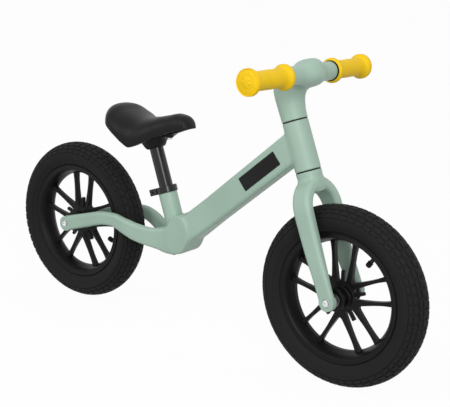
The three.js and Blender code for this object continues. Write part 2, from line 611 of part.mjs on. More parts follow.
function grip() {
  const bore = BAR_RADIUS + SEAT_GAP;
  const collarEnd = GRIP_INNER + GRIP_COLLAR_WIDTH;
  const knobStart = GRIP_OUTER - GRIP_KNOB_WIDTH;
  const outline = [
    [bore, GRIP_INNER], [GRIP_COLLAR_RADIUS - 3, GRIP_INNER], [GRIP_COLLAR_RADIUS, GRIP_INNER + 3],
    [GRIP_COLLAR_RADIUS, collarEnd - 4], [GRIP_COLLAR_RADIUS - 3, collarEnd - 1],
    [GRIP_RADIUS, collarEnd + 1],
    [GRIP_RADIUS, knobStart - 1], [GRIP_KNOB_RADIUS - 3, knobStart + 1], [GRIP_KNOB_RADIUS, knobStart + 4],
    [GRIP_KNOB_RADIUS, GRIP_OUTER - 5], [GRIP_KNOB_RADIUS * 0.8, GRIP_OUTER - 1],
    [GRIP_KNOB_RADIUS / 2, GRIP_OUTER], [0, GRIP_OUTER],
    [0, GRIP_OUTER - GRIP_END_WALL], [bore, GRIP_OUTER - GRIP_END_WALL], [bore, GRIP_INNER],
  ];
  return lathe(outline, ROUND_FACETS);
}

function steeringGroup() {
  const group = new THREE.Group();
  group.position.set(WHEELBASE / 2, 0, TYRE_RADIUS);
  group.rotation.y = degToRad(HEAD_ANGLE - 90);
  group.updateMatrix();
  return group;
}

function addSteering(group) {
  add(group, "fork", fork(), paint);
  const [bore, foot] = [STEERER_RADIUS - STEERER_WALL, STEERER_FOOT + SEAT_GAP];
  const tube = sleeve(bore, STEERER_RADIUS, foot, STEERER_TOP, ROUND_FACETS);
  add(group, "steerer_tube", upright(tube), darkSteel);
  const ringRadius = HEAD_TUBE_RADIUS - DUST_RING_INSET;
  for (const [name, low] of [["lower_dust_ring", NECK_TOP], ["upper_dust_ring", HEAD_TUBE_HIGH]]) {
    const foot = low + SEAT_GAP;
    const ring = sleeve(STEERER_BORE_RADIUS, ringRadius, foot, foot + DUST_RING_HEIGHT, ROUND_FACETS);
    add(group, name, upright(ring), blackNylon);
  }
  add(group, "handlebar_stem", handlebarStem(), paint);
  STEM_SCREW_HEIGHTS.forEach((height, index) => {
    const screw = add(group, `stem_screw_${["lower", "upper"][index]}`, stemScrew(), brightSteel);
    screw.position.z = STEM_FOOT + height;
  });
  const barEnd = GRIP_OUTER - GRIP_END_WALL - SEAT_GAP;
  const bar = sleeve(BAR_RADIUS - BAR_WALL, BAR_RADIUS, -barEnd, barEnd, ROUND_FACETS);
  add(group, "handlebar_tube", bar, blackEnamel).position.set(STEM_REACH, 0, BAR_HEIGHT);
  for (const [side, turn] of [["left", 0], ["right", Math.PI]]) {
    const mesh = add(group, `grip_${side}`, grip(), yellowRubber);
    mesh.position.set(STEM_REACH, 0, BAR_HEIGHT);
    mesh.rotation.z = turn;
  }
}

// ---------------------------------------------------------------- frame
const junction = point(JUNCTION_X, 0, JUNCTION_Z);

function seatGroup() {
  const group = new THREE.Group();
  group.position.set(JUNCTION_X - SEAT_TUBE_BEHIND_JUNCTION, 0, JUNCTION_Z);
  group.rotation.y = degToRad(SEAT_TUBE_ANGLE - 90);
  group.updateMatrix();
  return group;
}

function downTubeLine(steering) {
  const meeting = point(0, 0, HEAD_TUBE_LOW + DOWN_TUBE_MEETS_HEAD).applyMatrix4(steering.matrix);
  const start = junction.clone().setZ(JUNCTION_Z - DOWN_TUBE_DROP);
  const along = meeting.clone().sub(start).normalize();
  return { start, meeting, along, up: point(-along.z, 0, along.x) };
}

function downTube(steering) {
  const { start, meeting, up } = downTubeLine(steering);
  const ends = [[start, DOWN_TUBE_LOW_HEIGHT], [meeting, DOWN_TUBE_HIGH_HEIGHT]];
  const rings = ends.map(([centre, height]) => {
    const outline = roundedOutline(DOWN_TUBE_WIDTH, height, DOWN_TUBE_CORNER, 4);
    return laid(outline, centre, point(0, 1, 0), up);
  });
  return loft(rings);
}

function junctionBoss() {
  const edge = JUNCTION_EDGE;
  const half = [
    [0, JUNCTION_HALF_WIDTH], [JUNCTION_HALF_HEIGHT - edge, JUNCTION_HALF_WIDTH],
    [JUNCTION_HALF_HEIGHT - edge * 0.3, JUNCTION_HALF_WIDTH - edge * 0.3],
    [JUNCTION_HALF_HEIGHT, JUNCTION_HALF_WIDTH - edge],
  ];
  const boss = lathe(mirrored(half), ROUND_FACETS);
  boss.scale(JUNCTION_HALF_LENGTH / JUNCTION_HALF_HEIGHT, 1, 1);
  return boss.translate(junction.x, 0, junction.z);
}

function stay(side) {
  const reach = JUNCTION_X + WHEELBASE / 2;
  const rise = profile([
    [0, 0], [0.18, 0.48], [0.37, 0.93], [0.48, 1], [0.57, 0.81], [0.66, 0.57], [0.75, 0.43],
    [0.86, 0.39], [1, 0.45],
  ]);
  const height = profile([[0, 1], [0.2, 0.95], [0.48, 0.95], [0.66, 1.04], [0.8, 1.12], [1, 1.3]]);
  const centreLine = (share) =>
    point(reach * share - WHEELBASE / 2, 0, TYRE_RADIUS + STAY_PEAK * rise(share));
  const rings = [0, 0.09, 0.19, 0.29, 0.39, 0.48, 0.57, 0.66, 0.75, 0.84, 1].map((share) => {
    const swell = THREE.MathUtils.smoothstep(share, 0.09, 0.3);
    const thickness = THREE.MathUtils.lerp(DROPOUT_THICKNESS, STAY_THICKNESS, swell);
    const tuck = THREE.MathUtils.smoothstep(share, STAY_TUCK_START, 0.88);
    const outer = THREE.MathUtils.lerp(DROPOUT_OUTER, JUNCTION_HALF_WIDTH - STAY_INSET, tuck);
    const centre = centreLine(share).setY(side * (outer - thickness / 2));
    const along = centreLine(share + 0.01).sub(centreLine(share - 0.01)).normalize();
    const outline = roundedOutline(thickness, STAY_HEIGHT * height(share), STAY_CORNER, 2);
    return laid(outline, centre, point(0, 1, 0), point(-along.z, 0, along.x));
  });
  return loft(rings);
}

function frame(steering, seat) {
  const headTube = upright(rod(HEAD_TUBE_RADIUS, HEAD_TUBE_LOW, HEAD_TUBE_HIGH, ROUND_FACETS));
  const seatTube = upright(rod(SEAT_TUBE_RADIUS, -YOKE_HEIGHT / 2, SEAT_TUBE_LENGTH, ROUND_FACETS));
  const yokeEnd = JUNCTION_X - JUNCTION_HALF_LENGTH / 2;
  const yokeOutline = roundedOutline(2 * JUNCTION_HALF_WIDTH - STAY_THICKNESS, YOKE_HEIGHT, STAY_CORNER, 2);
  const yokeHeight = JUNCTION_Z - YOKE_DROP;
  const yoke = loft([yokeEnd - YOKE_LENGTH, yokeEnd].map((x) =>
    laid(yokeOutline, point(x, 0, yokeHeight), point(0, 1, 0), point(0, 0, 1))));
  const atAxle = (geometry) => geometry.translate(-WHEELBASE / 2, 0, TYRE_RADIUS);
  const body = join(
    downTube(steering), junctionBoss(), stay(-1), stay(1), yoke,
    headTube.applyMatrix4(steering.matrix), seatTube.applyMatrix4(seat.matrix),
    ...bothSides(() => [dropout()]).map(atAxle),
  );
  const bearingPocket = HEAD_BEARING_WIDTH + SEAT_GAP;
  const pocket = (low, high) => upright(rod(HEAD_BEARING_RADIUS + SEAT_GAP, low, high, ROUND_FACETS));
  const headHoles = [
    upright(rod(HEAD_TUBE_BORE_RADIUS, HEAD_TUBE_LOW - 1, HEAD_TUBE_HIGH + 1, ROUND_FACETS)),
    pocket(HEAD_TUBE_LOW - 1, HEAD_TUBE_LOW + bearingPocket),
    pocket(HEAD_TUBE_HIGH - bearingPocket, HEAD_TUBE_HIGH + 1),
  ];
  const boreFoot = SEAT_TUBE_LENGTH - SEAT_BORE_DEPTH;
  const seatBore = rod(SEAT_BORE_RADIUS, boreFoot, SEAT_TUBE_LENGTH + 1, ROUND_FACETS);
  const slotCentre = point(-SEAT_TUBE_RADIUS, 0, SEAT_TUBE_LENGTH + 1 - SEAT_SLOT_LENGTH / 2);
  const slot = block(SEAT_TUBE_RADIUS, SEAT_SLOT_WIDTH, SEAT_SLOT_LENGTH, slotCentre);
  const seatHoles = [upright(seatBore), slot];
  return cut(
    body,
    ...headHoles.map((hole) => hole.applyMatrix4(steering.matrix)),
    ...seatHoles.map((hole) => hole.applyMatrix4(seat.matrix)),
    ...bothSides(dropoutHoles).map(atAxle),
  );
}

function badge(side) {
  const [x, y] = [BADGE_LENGTH / 2, BADGE_HEIGHT / 2];
  const shape = new THREE.Shape(roundedOutline(2 * x, 2 * y, BADGE_CORNER, 2));
  const plate = new THREE.ExtrudeGeometry(shape, { depth: BADGE_THICKNESS, bevelEnabled: false });
  plate.rotateX(Math.PI / 2);
  const inner = DOWN_TUBE_WIDTH / 2 + SEAT_GAP;
  return plate.translate(0, side > 0 ? inner + BADGE_THICKNESS : -inner, 0);
}

function addFrame(bike, steering, seat) {
  add(bike, "frame", frame(steering, seat), paint);
  const half = HEAD_BEARING_WIDTH / 2;
  const headBearing = () => sleeve(STEERER_BORE_RADIUS, HEAD_BEARING_RADIUS, -half, half, ROUND_FACETS);
  const lower = add(steering, "lower_head_bearing", upright(headBearing()), darkSteel);
  lower.position.z = HEAD_TUBE_LOW + half;
  const upper = add(steering, "upper_head_bearing", upright(headBearing()), darkSteel);
  upper.position.z = HEAD_TUBE_HIGH - half;
  const { meeting, along } = downTubeLine(steering);
  const badgeCentre = HEAD_TUBE_RADIUS + BADGE_BEHIND_HEAD_TUBE + BADGE_LENGTH / 2;
  for (const [name, side] of [["badge_left", 1], ["badge_right", -1]]) {
    const plate = add(bike, name, badge(side), blackFilm);
    plate.position.copy(meeting).addScaledVector(along, -badgeCentre);
    plate.rotation.y = -Math.atan2(along.z, along.x);
  }
}

// ---------------------------------------------------------------- seat clamp, post and saddle
const EAR_END = SEAT_TUBE_RADIUS + SEAT_CLAMP_WALL + SEAT_CLAMP_EAR_REACH;
const CLAMP_BOLT_X = -(EAR_END + SEAT_TUBE_RADIUS) / 2;
const CLAMP_MIDDLE = SEAT_TUBE_LENGTH - SEAT_CLAMP_HEIGHT / 2;

function seatClamp() {
  const [low, high] = [SEAT_TUBE_LENGTH - SEAT_CLAMP_HEIGHT, SEAT_TUBE_LENGTH];
  const inner = SEAT_TUBE_RADIUS + SEAT_GAP;
  const band = upright(rod(inner + SEAT_CLAMP_WALL, low, high, ROUND_FACETS));
  const earCentre = point(-EAR_END / 2, 0, CLAMP_MIDDLE);
  const ears = block(EAR_END, 2 * SEAT_CLAMP_EAR_WIDTH, SEAT_CLAMP_HEIGHT, earCentre);
  const bore = upright(rod(inner, low - 1, high + 1, ROUND_FACETS));
  const slot = block(EAR_END, SEAT_SLOT_WIDTH, SEAT_CLAMP_HEIGHT + 2, point(-EAR_END, 0, CLAMP_MIDDLE));
  const hole = rod(CLAMP_BOLT_RADIUS + SEAT_GAP, -SEAT_CLAMP_EAR_WIDTH - 1, SEAT_CLAMP_EAR_WIDTH + 1);
  return cut(join(band, ears), bore, slot, hole.translate(CLAMP_BOLT_X, 0, CLAMP_MIDDLE));
}

function addSeatClamp(seat) {
  add(seat, "seat_clamp", seatClamp(), blackEnamel);
  const seatFace = SEAT_CLAMP_EAR_WIDTH + SEAT_GAP;
  const nutHeight = 2 * CLAMP_BOLT_RADIUS - 1;
  const length = 2 * seatFace + nutHeight;
  const [radius, headRadius, headHeight] = [CLAMP_BOLT_RADIUS, CLAMP_BOLT_HEAD_RADIUS, CLAMP_BOLT_HEAD_HEIGHT];
  const bolt = buttonBolt(radius, headRadius, headHeight, seatFace, length);
  const boltMesh = add(seat, "seat_clamp_bolt", bolt, blackEnamel);
  boltMesh.position.set(CLAMP_BOLT_X, 0, CLAMP_MIDDLE);
  boltMesh.rotation.z = Math.PI;
  const hexNut = nut(CLAMP_BOLT_RADIUS + SEAT_GAP, CLAMP_BOLT_HEAD_RADIUS, seatFace, seatFace + nutHeight);
  add(seat, "seat_clamp_nut", hexNut, blackEnamel).position.set(CLAMP_BOLT_X, 0, CLAMP_MIDDLE);
}

const POST_FOOT = SEAT_TUBE_LENGTH - SEAT_POST_INSERTION;
const POST_TOP = POST_FOOT + SEAT_POST_LENGTH;
const BOSS_FOOT = POST_TOP - SADDLE_SOCKET_DEPTH;
const PIN_HEIGHT = BOSS_FOOT + SADDLE_PIN_RISE;
const PIN_HOLE_REACH = 2 * SADDLE_BOSS_RADIUS;
const pinHole = () =>
  rod(SADDLE_PIN_RADIUS + SEAT_GAP, -PIN_HOLE_REACH, PIN_HOLE_REACH).translate(0, 0, PIN_HEIGHT);

function seatPost() {
  const bore = SEAT_POST_RADIUS - SEAT_POST_WALL;
  const tube = sleeve(bore, SEAT_POST_RADIUS, POST_FOOT, POST_TOP, ROUND_FACETS);
  return cut(solid(upright(tube)), pinHole());
}

// The saddle's outline, by the share of its length behind the nose tip.
const saddleWidth = profile([
  [0, 0.13], [0.05, 0.3], [0.12, 0.36], [0.3, 0.52], [0.45, 0.765], [0.6, 0.905], [0.78, 1], [0.9, 0.84],
  [0.96, 0.57], [1, 0.14],
]);
const saddleTop = profile([
  [0, 0.73], [0.05, 0.912], [0.15, 1], [0.3, 0.912], [0.45, 0.807], [0.6, 0.766], [0.78, 0.878],
  [0.9, 0.99],
  [1, 0.948],
]);
const saddleSkirt = profile([
  [0, 0.688], [0.1, 0.636], [0.3, 0.417], [0.45, 0.214], [0.55, 0.095], [0.65, 0.115], [0.8, 0.413],
  [0.92, 0.589], [1, 0.621],
]);
const SADDLE_SHARES = [0, 0.05, 0.12, 0.21, 0.3, 0.38, 0.46, 0.55, 0.65, 0.75, 0.83, 0.9, 0.96, 1];

// A body under the saddle's outline, set in from its sides and top. Its sides go straight down for a drop
// below the skirt.
function saddleBody(shares, sideInset, topInset, drop) {
  const rings = shares.map((share) => {
    const x = SADDLE_NOSE_REACH - SADDLE_LENGTH * share;
    const halfWidth = saddleWidth(share) * SADDLE_HALF_WIDTH - sideInset;
    const high = saddleTop(share) * SADDLE_HEIGHT - topInset;
    const low = saddleSkirt(share) * SADDLE_HEIGHT;
    const steps = 10;
    const roundness = 0.8;
    const ring = [point(x, halfWidth, low - drop)];
    for (let step = 0; step <= steps; step++) {
      const angle = (Math.PI * step) / steps;
      const y = halfWidth * Math.sign(Math.cos(angle)) * Math.abs(Math.cos(angle)) ** roundness;
      const z = low + (high - low) * Math.sin(angle) ** roundness;
      ring.push(point(x, y, z));
    }
    ring.push(point(x, -halfWidth, low - drop));
    return ring;
  });
  return loft(rings);
}

const INNER_SHARES = SADDLE_SHARES.filter((share) => share > 0.1 && share < 0.95);
const BELOW = SADDLE_HEIGHT;

function saddleCushion() {
  const cavity = saddleBody(INNER_SHARES, SADDLE_SKIN, SADDLE_PAD, BELOW);
  return cut(solid(saddleBody(SADDLE_SHARES, 0, 0, 0)), cavity);
}

function saddleShell(postTilt) {
  const [side, top] = [SADDLE_SKIN + SEAT_GAP, SADDLE_PAD + SEAT_GAP];
  const outside = saddleBody(INNER_SHARES, side, top, 0);
  const room = saddleBody(INNER_SHARES, side + SADDLE_SHELL_WALL, top + SADDLE_SHELL_WALL, BELOW);
  const envelope = solid(saddleBody(INNER_SHARES, side, top, BELOW));
  const flare = 1.4 * SADDLE_BOSS_RADIUS;
  const boss = upright(lathe([
    [0, 0], [SADDLE_BOSS_RADIUS, 0], [SADDLE_BOSS_RADIUS * 1.15, SADDLE_HEIGHT * 0.05],
    [flare, SADDLE_HEIGHT * 0.22], [flare, SADDLE_HEIGHT], [0, SADDLE_HEIGHT],
  ], ROUND_FACETS)).rotateY(postTilt);
  const supports = join(boss, saddleKeel()).intersect(envelope);
  const inPost = (geometry) => geometry.translate(0, 0, -BOSS_FOOT).rotateY(postTilt);
  const socket = inPost(upright(rod(SEAT_BORE_RADIUS, BOSS_FOOT - 1, POST_TOP + SEAT_GAP, ROUND_FACETS)));
  const screwHole = upright(rod(SADDLE_SCREW_RADIUS + SEAT_GAP, 0, SCREW_SEAT + SADDLE_SCREW_LENGTH + 1))
    .translate(SADDLE_SCREW_REACH, 0, 0);
  return cut(cut(solid(outside), room).add(supports), socket, inPost(pinHole()), screwHole);
}

// A rib under the shell from the boss to the nose. It hangs a little below the skirt.
const keelFoot = (x) => {
  const share = (x / SADDLE_NOSE_REACH - 0.2) / 0.7;
  return SADDLE_HEIGHT * THREE.MathUtils.lerp(0.3, 0.66, share);
};
const SCREW_SEAT = keelFoot(SADDLE_SCREW_REACH - SADDLE_SCREW_HEAD_RADIUS - 1) - SEAT_GAP;

function saddleKeel() {
  const rings = [0.1, 0.9].map((share) => {
    const x = SADDLE_NOSE_REACH * share;
    const [low, high] = [keelFoot(x), SADDLE_HEIGHT];
    const outline = roundedOutline(2 * SADDLE_KEEL_HALF_WIDTH, high - low, 2, 1);
    return laid(outline, point(x, 0, (low + high) / 2), point(0, 1, 0), point(0, 0, 1));
  });
  const seat = upright(rod(SADDLE_SCREW_HEAD_RADIUS + 1, SCREW_SEAT + SEAT_GAP, SADDLE_HEIGHT));
  return geometryOf(join(loft(rings), seat.translate(SADDLE_SCREW_REACH, 0, 0)));
}

function addSeat(seat, saddle) {
  add(seat, "seat_post", seatPost(), blackEnamel);
  add(saddle, "saddle_cushion", saddleCushion(), saddleSkin);
  add(saddle, "saddle_shell", saddleShell(seat.rotation.y), blackNylon);
  const pin = rod(SADDLE_PIN_RADIUS, 1 - SADDLE_BOSS_RADIUS, SADDLE_BOSS_RADIUS - 1);
  add(seat, "saddle_pin", pin, darkSteel).position.z = PIN_HEIGHT;
  const [radius, head] = [SADDLE_SCREW_HEAD_RADIUS, SADDLE_SCREW_HEAD_HEIGHT];
  const screw = buttonBolt(SADDLE_SCREW_RADIUS, radius, head, 0, SADDLE_SCREW_LENGTH);
  const mesh = add(saddle, "saddle_screw", upright(screw).rotateX(Math.PI), brightSteel);
  mesh.position.set(SADDLE_SCREW_REACH, 0, SCREW_SEAT);
}

// ---------------------------------------------------------------- the bike
const bike = new THREE.Group();
bike.name = "balance_bike";
const steering = steeringGroup();
const seat = seatGroup();
const saddle = new THREE.Group();
saddle.position.copy(point(0, 0, BOSS_FOOT).applyMatrix4(seat.matrix));
const rearAxle = new THREE.Group();
rearAxle.position.set(-WHEELBASE / 2, 0, TYRE_RADIUS);
bike.add(steering, seat, saddle, rearAxle);

addFrame(bike, steering, seat);
addSeatClamp(seat);
addSeat(seat, saddle);
addSteering(steering);
addAxle(steering, "front");
addAxle(rearAxle, "rear");
addWheel(bike, "front", WHEELBASE / 2, FRONT_WHEEL_TURN);
addWheel(bike, "rear", -WHEELBASE / 2, REAR_WHEEL_TURN);
bike.updateMatrixWorld(true);

export default bike;
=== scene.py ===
"""Looks of a toddler's balance bike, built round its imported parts.

Shapes are worked out in millimetres and turned to metres as each piece is made. X points forward,
Y to the rider's left and Z up.
"""
import itertools
import json
import math

import bmesh
import bpy
import numpy as np
from mathutils import Matrix, Vector


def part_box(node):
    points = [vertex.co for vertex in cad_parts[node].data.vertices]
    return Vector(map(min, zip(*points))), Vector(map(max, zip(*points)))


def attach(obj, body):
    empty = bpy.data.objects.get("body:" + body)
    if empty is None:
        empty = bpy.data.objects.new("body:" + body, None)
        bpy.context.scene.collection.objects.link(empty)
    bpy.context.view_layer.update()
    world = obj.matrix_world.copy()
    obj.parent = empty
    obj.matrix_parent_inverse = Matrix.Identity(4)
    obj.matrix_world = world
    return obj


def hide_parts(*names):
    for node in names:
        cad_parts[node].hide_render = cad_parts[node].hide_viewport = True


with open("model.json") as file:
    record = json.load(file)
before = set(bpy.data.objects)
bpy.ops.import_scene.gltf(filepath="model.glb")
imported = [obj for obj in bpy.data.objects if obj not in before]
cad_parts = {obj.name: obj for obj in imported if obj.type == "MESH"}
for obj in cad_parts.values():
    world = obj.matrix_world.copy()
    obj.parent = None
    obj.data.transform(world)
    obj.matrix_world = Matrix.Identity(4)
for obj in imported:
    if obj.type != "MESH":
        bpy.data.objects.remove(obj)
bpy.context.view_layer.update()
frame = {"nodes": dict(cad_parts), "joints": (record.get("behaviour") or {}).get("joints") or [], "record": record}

bl_info = {
    "name": "Balance bike",
    "version": (1, 0, 0),
    "blender": (4, 5, 0),
    "location": "View3D > Sidebar > Bike",
    "description": "Builds a toddler's balance bike round its packed parts",
    "category": "Object",
}

MM = 0.001
UP = Vector((0, 0, 1))
LEFT = Vector((0, 1, 0))
SIDES = (("left", 1), ("right", -1))
ENDS = ("front", "rear")

# ---------------- places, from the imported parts


def middle_of(node):
    """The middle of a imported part's box, in millimetres."""
    low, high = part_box(node)
    return (low + high) / 2 / MM


def named(name, key="joints"):
    """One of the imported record's joints or mounts."""
    rows = frame["joints"] if key == "joints" else frame["record"][key]
    return next(row for row in rows if row["name"] == name)


class Place:
    """Axes of their own for a group of pieces: Z along a given direction, Y to the left and X
    ahead. A wheel's are the bike's own, turned about its axle."""

    def __init__(self, origin, along=UP, turn=0.0):
        along = Vector(along).normalized()
        ahead = LEFT.cross(along)
        ahead = ahead.normalized() if ahead.length > 0.1 else Vector((1, 0, 0))
        axes = Matrix((ahead, along.cross(ahead), along))
        self.origin = np.array(origin, float)
        self.axes = np.array(axes @ Matrix.Rotation(-turn, 3, "Y"))

    def local(self, points):
        return (points - self.origin) @ self.axes.T

    def world(self, points):
        return np.asarray(points, float) @ self.axes + self.origin

    def at(self, x, y, z, along):
        """A place within this one, with its own Z given in this one's axes."""
        return Place(self.world((x, y, z)), Vector(np.array(along, float) @ self.axes))


STEERING = Place(Vector(named("steering")["pos_m"]) / MM, named("steering")["axis"])
POST_MIDDLE = 97.0  # the post's middle above the height where its line meets the seat tube's foot
SEAT_LINE = Vector(named("seat_height")["axis"]).normalized()
SEAT = Place(middle_of("seat_post") - SEAT_LINE * POST_MIDDLE, SEAT_LINE)
JUNCTION = Vector(named("junction_face_left", "mounts")["pos_m"]) * Vector((1, 0, 1)) / MM
AXLES = {end: Vector(named(f"{end}_wheel_spin")["pos_m"]) / MM for end in ENDS}
WHEEL_TURNS = {"front": math.radians(-2), "rear": math.radians(72)}
WHEELS = {end: Place(AXLES[end], turn=WHEEL_TURNS[end]) for end in ENDS}

# ---------------- distance fields


def smoothstep(value, low, high):
    share = np.clip((value - low) / (high - low), 0, 1)
    return share * share * (3 - 2 * share)


def mixed(low, high, share):
    return low + (high - low) * share


class Curve:
    """A smooth line through (place, value) pairs."""

    def __init__(self, *pairs):
        self.places, self.values = (np.array(v, float) for v in zip(*pairs))
        self.steps = np.diff(self.places)
        slopes = np.diff(self.values) / self.steps
        before, after = self.steps[:-1], self.steps[1:]
        inner = (slopes[:-1] * after + slopes[1:] * before) / (before + after)
        first, last = 1.5 * slopes[:1] - inner[:1] / 2, 1.5 * slopes[-1:] - inner[-1:] / 2
        self.tangents = np.concatenate((first, inner, last))

    def __call__(self, place):
        place = np.clip(place, self.places[0], self.places[-1])
        i = np.searchsorted(self.places, place, side="right") - 1
        i = np.clip(i, 0, len(self.steps) - 1)
        h = self.steps[i]
        t = (place - self.places[i]) / h
        low, high = self.values[i], self.values[i + 1]
        leave, arrive = h * self.tangents[i], h * self.tangents[i + 1]
        rise = 3 * t**2 - 2 * t**3
        return mixed(low, high, rise) + (t**3 - 2 * t**2 + t) * leave + (t**3 - t**2) * arrive


def rounded_rectangle(x, y, half_x, half_y, corner):
    corner = np.minimum(corner, np.minimum(half_x, half_y))
    over_x, over_y = np.abs(x) - half_x + corner, np.abs(y) - half_y + corner
    outside = np.hypot(np.maximum(over_x, 0), np.maximum(over_y, 0))
    return outside + np.minimum(np.maximum(over_x, over_y), 0) - corner


def ellipse(x, y, half_x, half_y):
    size = np.hypot(x / half_x, y / half_y)
    slope = np.maximum(np.hypot(x / half_x**2, y / half_y**2), 1e-6)
    return size * (size - 1) / slope


def between(profile, along, low, high, edge=0.0):
    """A profile's distance, cut off square at two heights with its rims rounded."""
    across = profile + edge
    beyond = np.abs(along - (low + high) / 2) - (high - low) / 2 + edge
    outside = np.hypot(np.maximum(across, 0), np.maximum(beyond, 0))
    return outside + np.minimum(np.maximum(across, beyond), 0) - edge


def rod(q, radius, low, high, edge=0.0):
    """A rod along the third axis."""
    return between(np.hypot(q[:, 0], q[:, 1]) - radius, q[:, 2], low, high, edge)


def blended(first, second, fillet):
    """Two bodies joined, with a fillet where they meet."""
    share = np.clip(0.5 + 0.5 * (second - first) / fillet, 0, 1)
    return mixed(second, first, share) - fillet * share * (1 - share)


def carved(body, hole, edge=1.0):
    return -blended(-body, hole, edge)


def sampled(field, low, high, step):
    """A field on a grid. Blocks far from the surface keep their middle's value."""
    side, far = 8, 1.3  # samples along a block's edge, and how many edges off is far
    low = np.array(low, float)
    blocks = np.ceil((np.array(high) - low) / step / side).astype(int)
    corners = np.stack(np.meshgrid(*(np.arange(b) * side for b in blocks), indexing="ij"), -1)
    middles = low + (corners + (side - 1) / 2) * step
    coarse = field(middles.reshape(-1, 3)).reshape(blocks)
    value = np.broadcast_to(coarse[..., None, None, None], (*blocks, side, side, side)).copy()
    near = np.abs(coarse) < side * step * far
    inner = np.stack(np.meshgrid(*(np.arange(side),) * 3, indexing="ij"), -1).reshape(-1, 3)
    points = low + (corners[near][:, None, :] + inner) * step
    value[near] = field(points.reshape(-1, 3)).reshape(-1, side, side, side)
    return value.transpose(0, 3, 1, 4, 2, 5).reshape(blocks * side)


def net(value, low, step):
    """Points and quads on a sampled field's surface: one point in each cell that it crosses."""
    inside = value < 0
    cells, places, loops = [], [], []
    for axis in range(3):
        turn = [(axis + 1) % 3, (axis + 2) % 3]
        edges = np.argwhere(np.diff(inside, axis=axis))
        along = np.eye(3, dtype=int)[axis]
        first, second = value[tuple(edges.T)], value[tuple((edges + along).T)]
        crossing = edges + along * (first / (first - second))[:, None]
        around = np.zeros((4, 3), int)
        around[:, turn] = [[0, 0], [-1, 0], [-1, -1], [0, -1]]
        four = edges[:, None, :] + around
        flat = np.ravel_multi_index(tuple(np.moveaxis(four, -1, 0)), value.shape)
        flat[first > 0] = flat[first > 0][:, ::-1]
        loops.append(flat)
        cells.append(flat.ravel())
        places.append(np.repeat(crossing, 4, axis=0))
    found, index = np.unique(np.concatenate(cells), return_inverse=True)
    places = np.concatenate(places)
    total = np.stack([np.bincount(index, places[:, k], len(found)) for k in range(3)], -1)
    points = np.array(low) + total / np.bincount(index)[:, None] * step
    quads = np.searchsorted(found, np.concatenate(loops))
    return points, quads


def slope_of(field, points, reach=0.05):
    steps = np.eye(3) * reach
    return np.stack([field(points + s) - field(points - s) for s in steps], -1) / (2 * reach)


def skin(field, low, high, step):
    """Points, quads and normals on a field's surface."""
    low, high = (np.array(corner, float) for corner in (low, high))
    points, quads = net(sampled(field, low, high, step), low, step)
    rounds, least_slope = 4, 0.2
    for _ in range(rounds):
        slope = slope_of(field, points)
        steepness = np.maximum((slope**2).sum(1), least_slope)
        move = np.clip(field(points) / steepness, -step / 2, step / 2)
        points = points - slope * move[:, None]
    slope = slope_of(field, points)
    return points, quads, slope / np.maximum(np.linalg.norm(slope, axis=1), 1e-9)[:, None]


def cast(name, points, quads, normals, place=None):
    """A mesh shaded by the field's own slope."""
    if place is not None:
        points, normals = place.world(points), normals @ place.axes
    piece = mesh(name, (points, quads))
    piece.data.normals_split_custom_set_from_vertices(normals.tolist())
    return piece


def cast_round(name, field, node, step, margin=6):
    """A casting whose field is in the bike's axes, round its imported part."""
    low, high = (np.array(corner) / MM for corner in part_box(node))
    return cast(name, *skin(field, low - margin, high + margin, step))


# ---------------- meshes


def mesh(name, *shapes):
    """A smooth-shaded mesh object from shapes: points in millimetres, and faces."""
    points, faces = [], []
    for shape_points, shape_faces in shapes:
        faces += [[int(corner) + len(points) for corner in face] for face in shape_faces]
        points += (np.asarray(shape_points, float) * MM).tolist()
    data = bpy.data.meshes.new(name)
    data.from_pydata(points, [], faces)
    data.validate()
    data.shade_smooth()
    piece = bpy.data.objects.new(name, data)
    bpy.context.scene.collection.objects.link(piece)
    return piece


def finished(piece, degrees=35):
    """Faces turned outward, and sharp edges kept sharp."""
    work = bmesh.new()
    work.from_mesh(piece.data)
    bmesh.ops.recalc_face_normals(work, faces=work.faces)
    work.to_mesh(piece.data)
    work.free()
    piece.data.set_sharp_from_angle(angle=math.radians(degrees))
    return piece


def rounded(outline, radius, steps=3, closed=False):
    """An outline with its corners rounded. A corner may give its own radius as a third value."""
    corners = [np.array(corner[:2], float) for corner in outline]
    count = len(corners)
    made = []
    for i, corner in enumerate(corners):
        if not closed and i in (0, count - 1):
            made.append(tuple(corner))
            continue
        back, on = corners[i - 1] - corner, corners[(i + 1) % count] - corner
        reach = [np.linalg.norm(side) for side in (back, on)]
        back, on = back / reach[0], on / reach[1]
        size = outline[i][2] if len(outline[i]) > 2 else radius
        half_angle = math.acos(np.clip(back @ on, -0.9999, 0.9999)) / 2
        trim = min(size / math.tan(half_angle), 0.45 * min(reach))
        for t in np.linspace(0, 1, steps + 1):
            made.append(tuple(corner + back * trim * (1 - t) ** 2 + on * trim * t**2))
    return made


def hexagon(angle):
    """How far a hexagon's edge is, over its nearest distance."""
    third = math.pi / 3
    return 1 / math.cos((angle + third / 2) % third - third / 2)


def bands(rows, count, closed=False):
    """Quads between rows of points, each row a ring of that many."""
    faces = []
    for row in range(rows if closed else rows - 1):
        near, far = row * count, (row + 1) % rows * count
        for j in range(count):
            k = (j + 1) % count
            faces.append([near + j, near + k, far + k, far + j])
    return faces


def lofted(rings):
    """A solid through rings of as many points, with a flat face at each end."""
    count = len(rings[0])
    last = count * (len(rings) - 1)
    ends = [list(range(count))[::-1], list(range(last, last + count))]
    return np.concatenate(rings), ends + bands(len(rings), count)


def knurl(angle):
    """Fine grooves round a cap, as a share of its radius."""
    return 1 - 0.05 * math.cos(18 * angle) ** 2


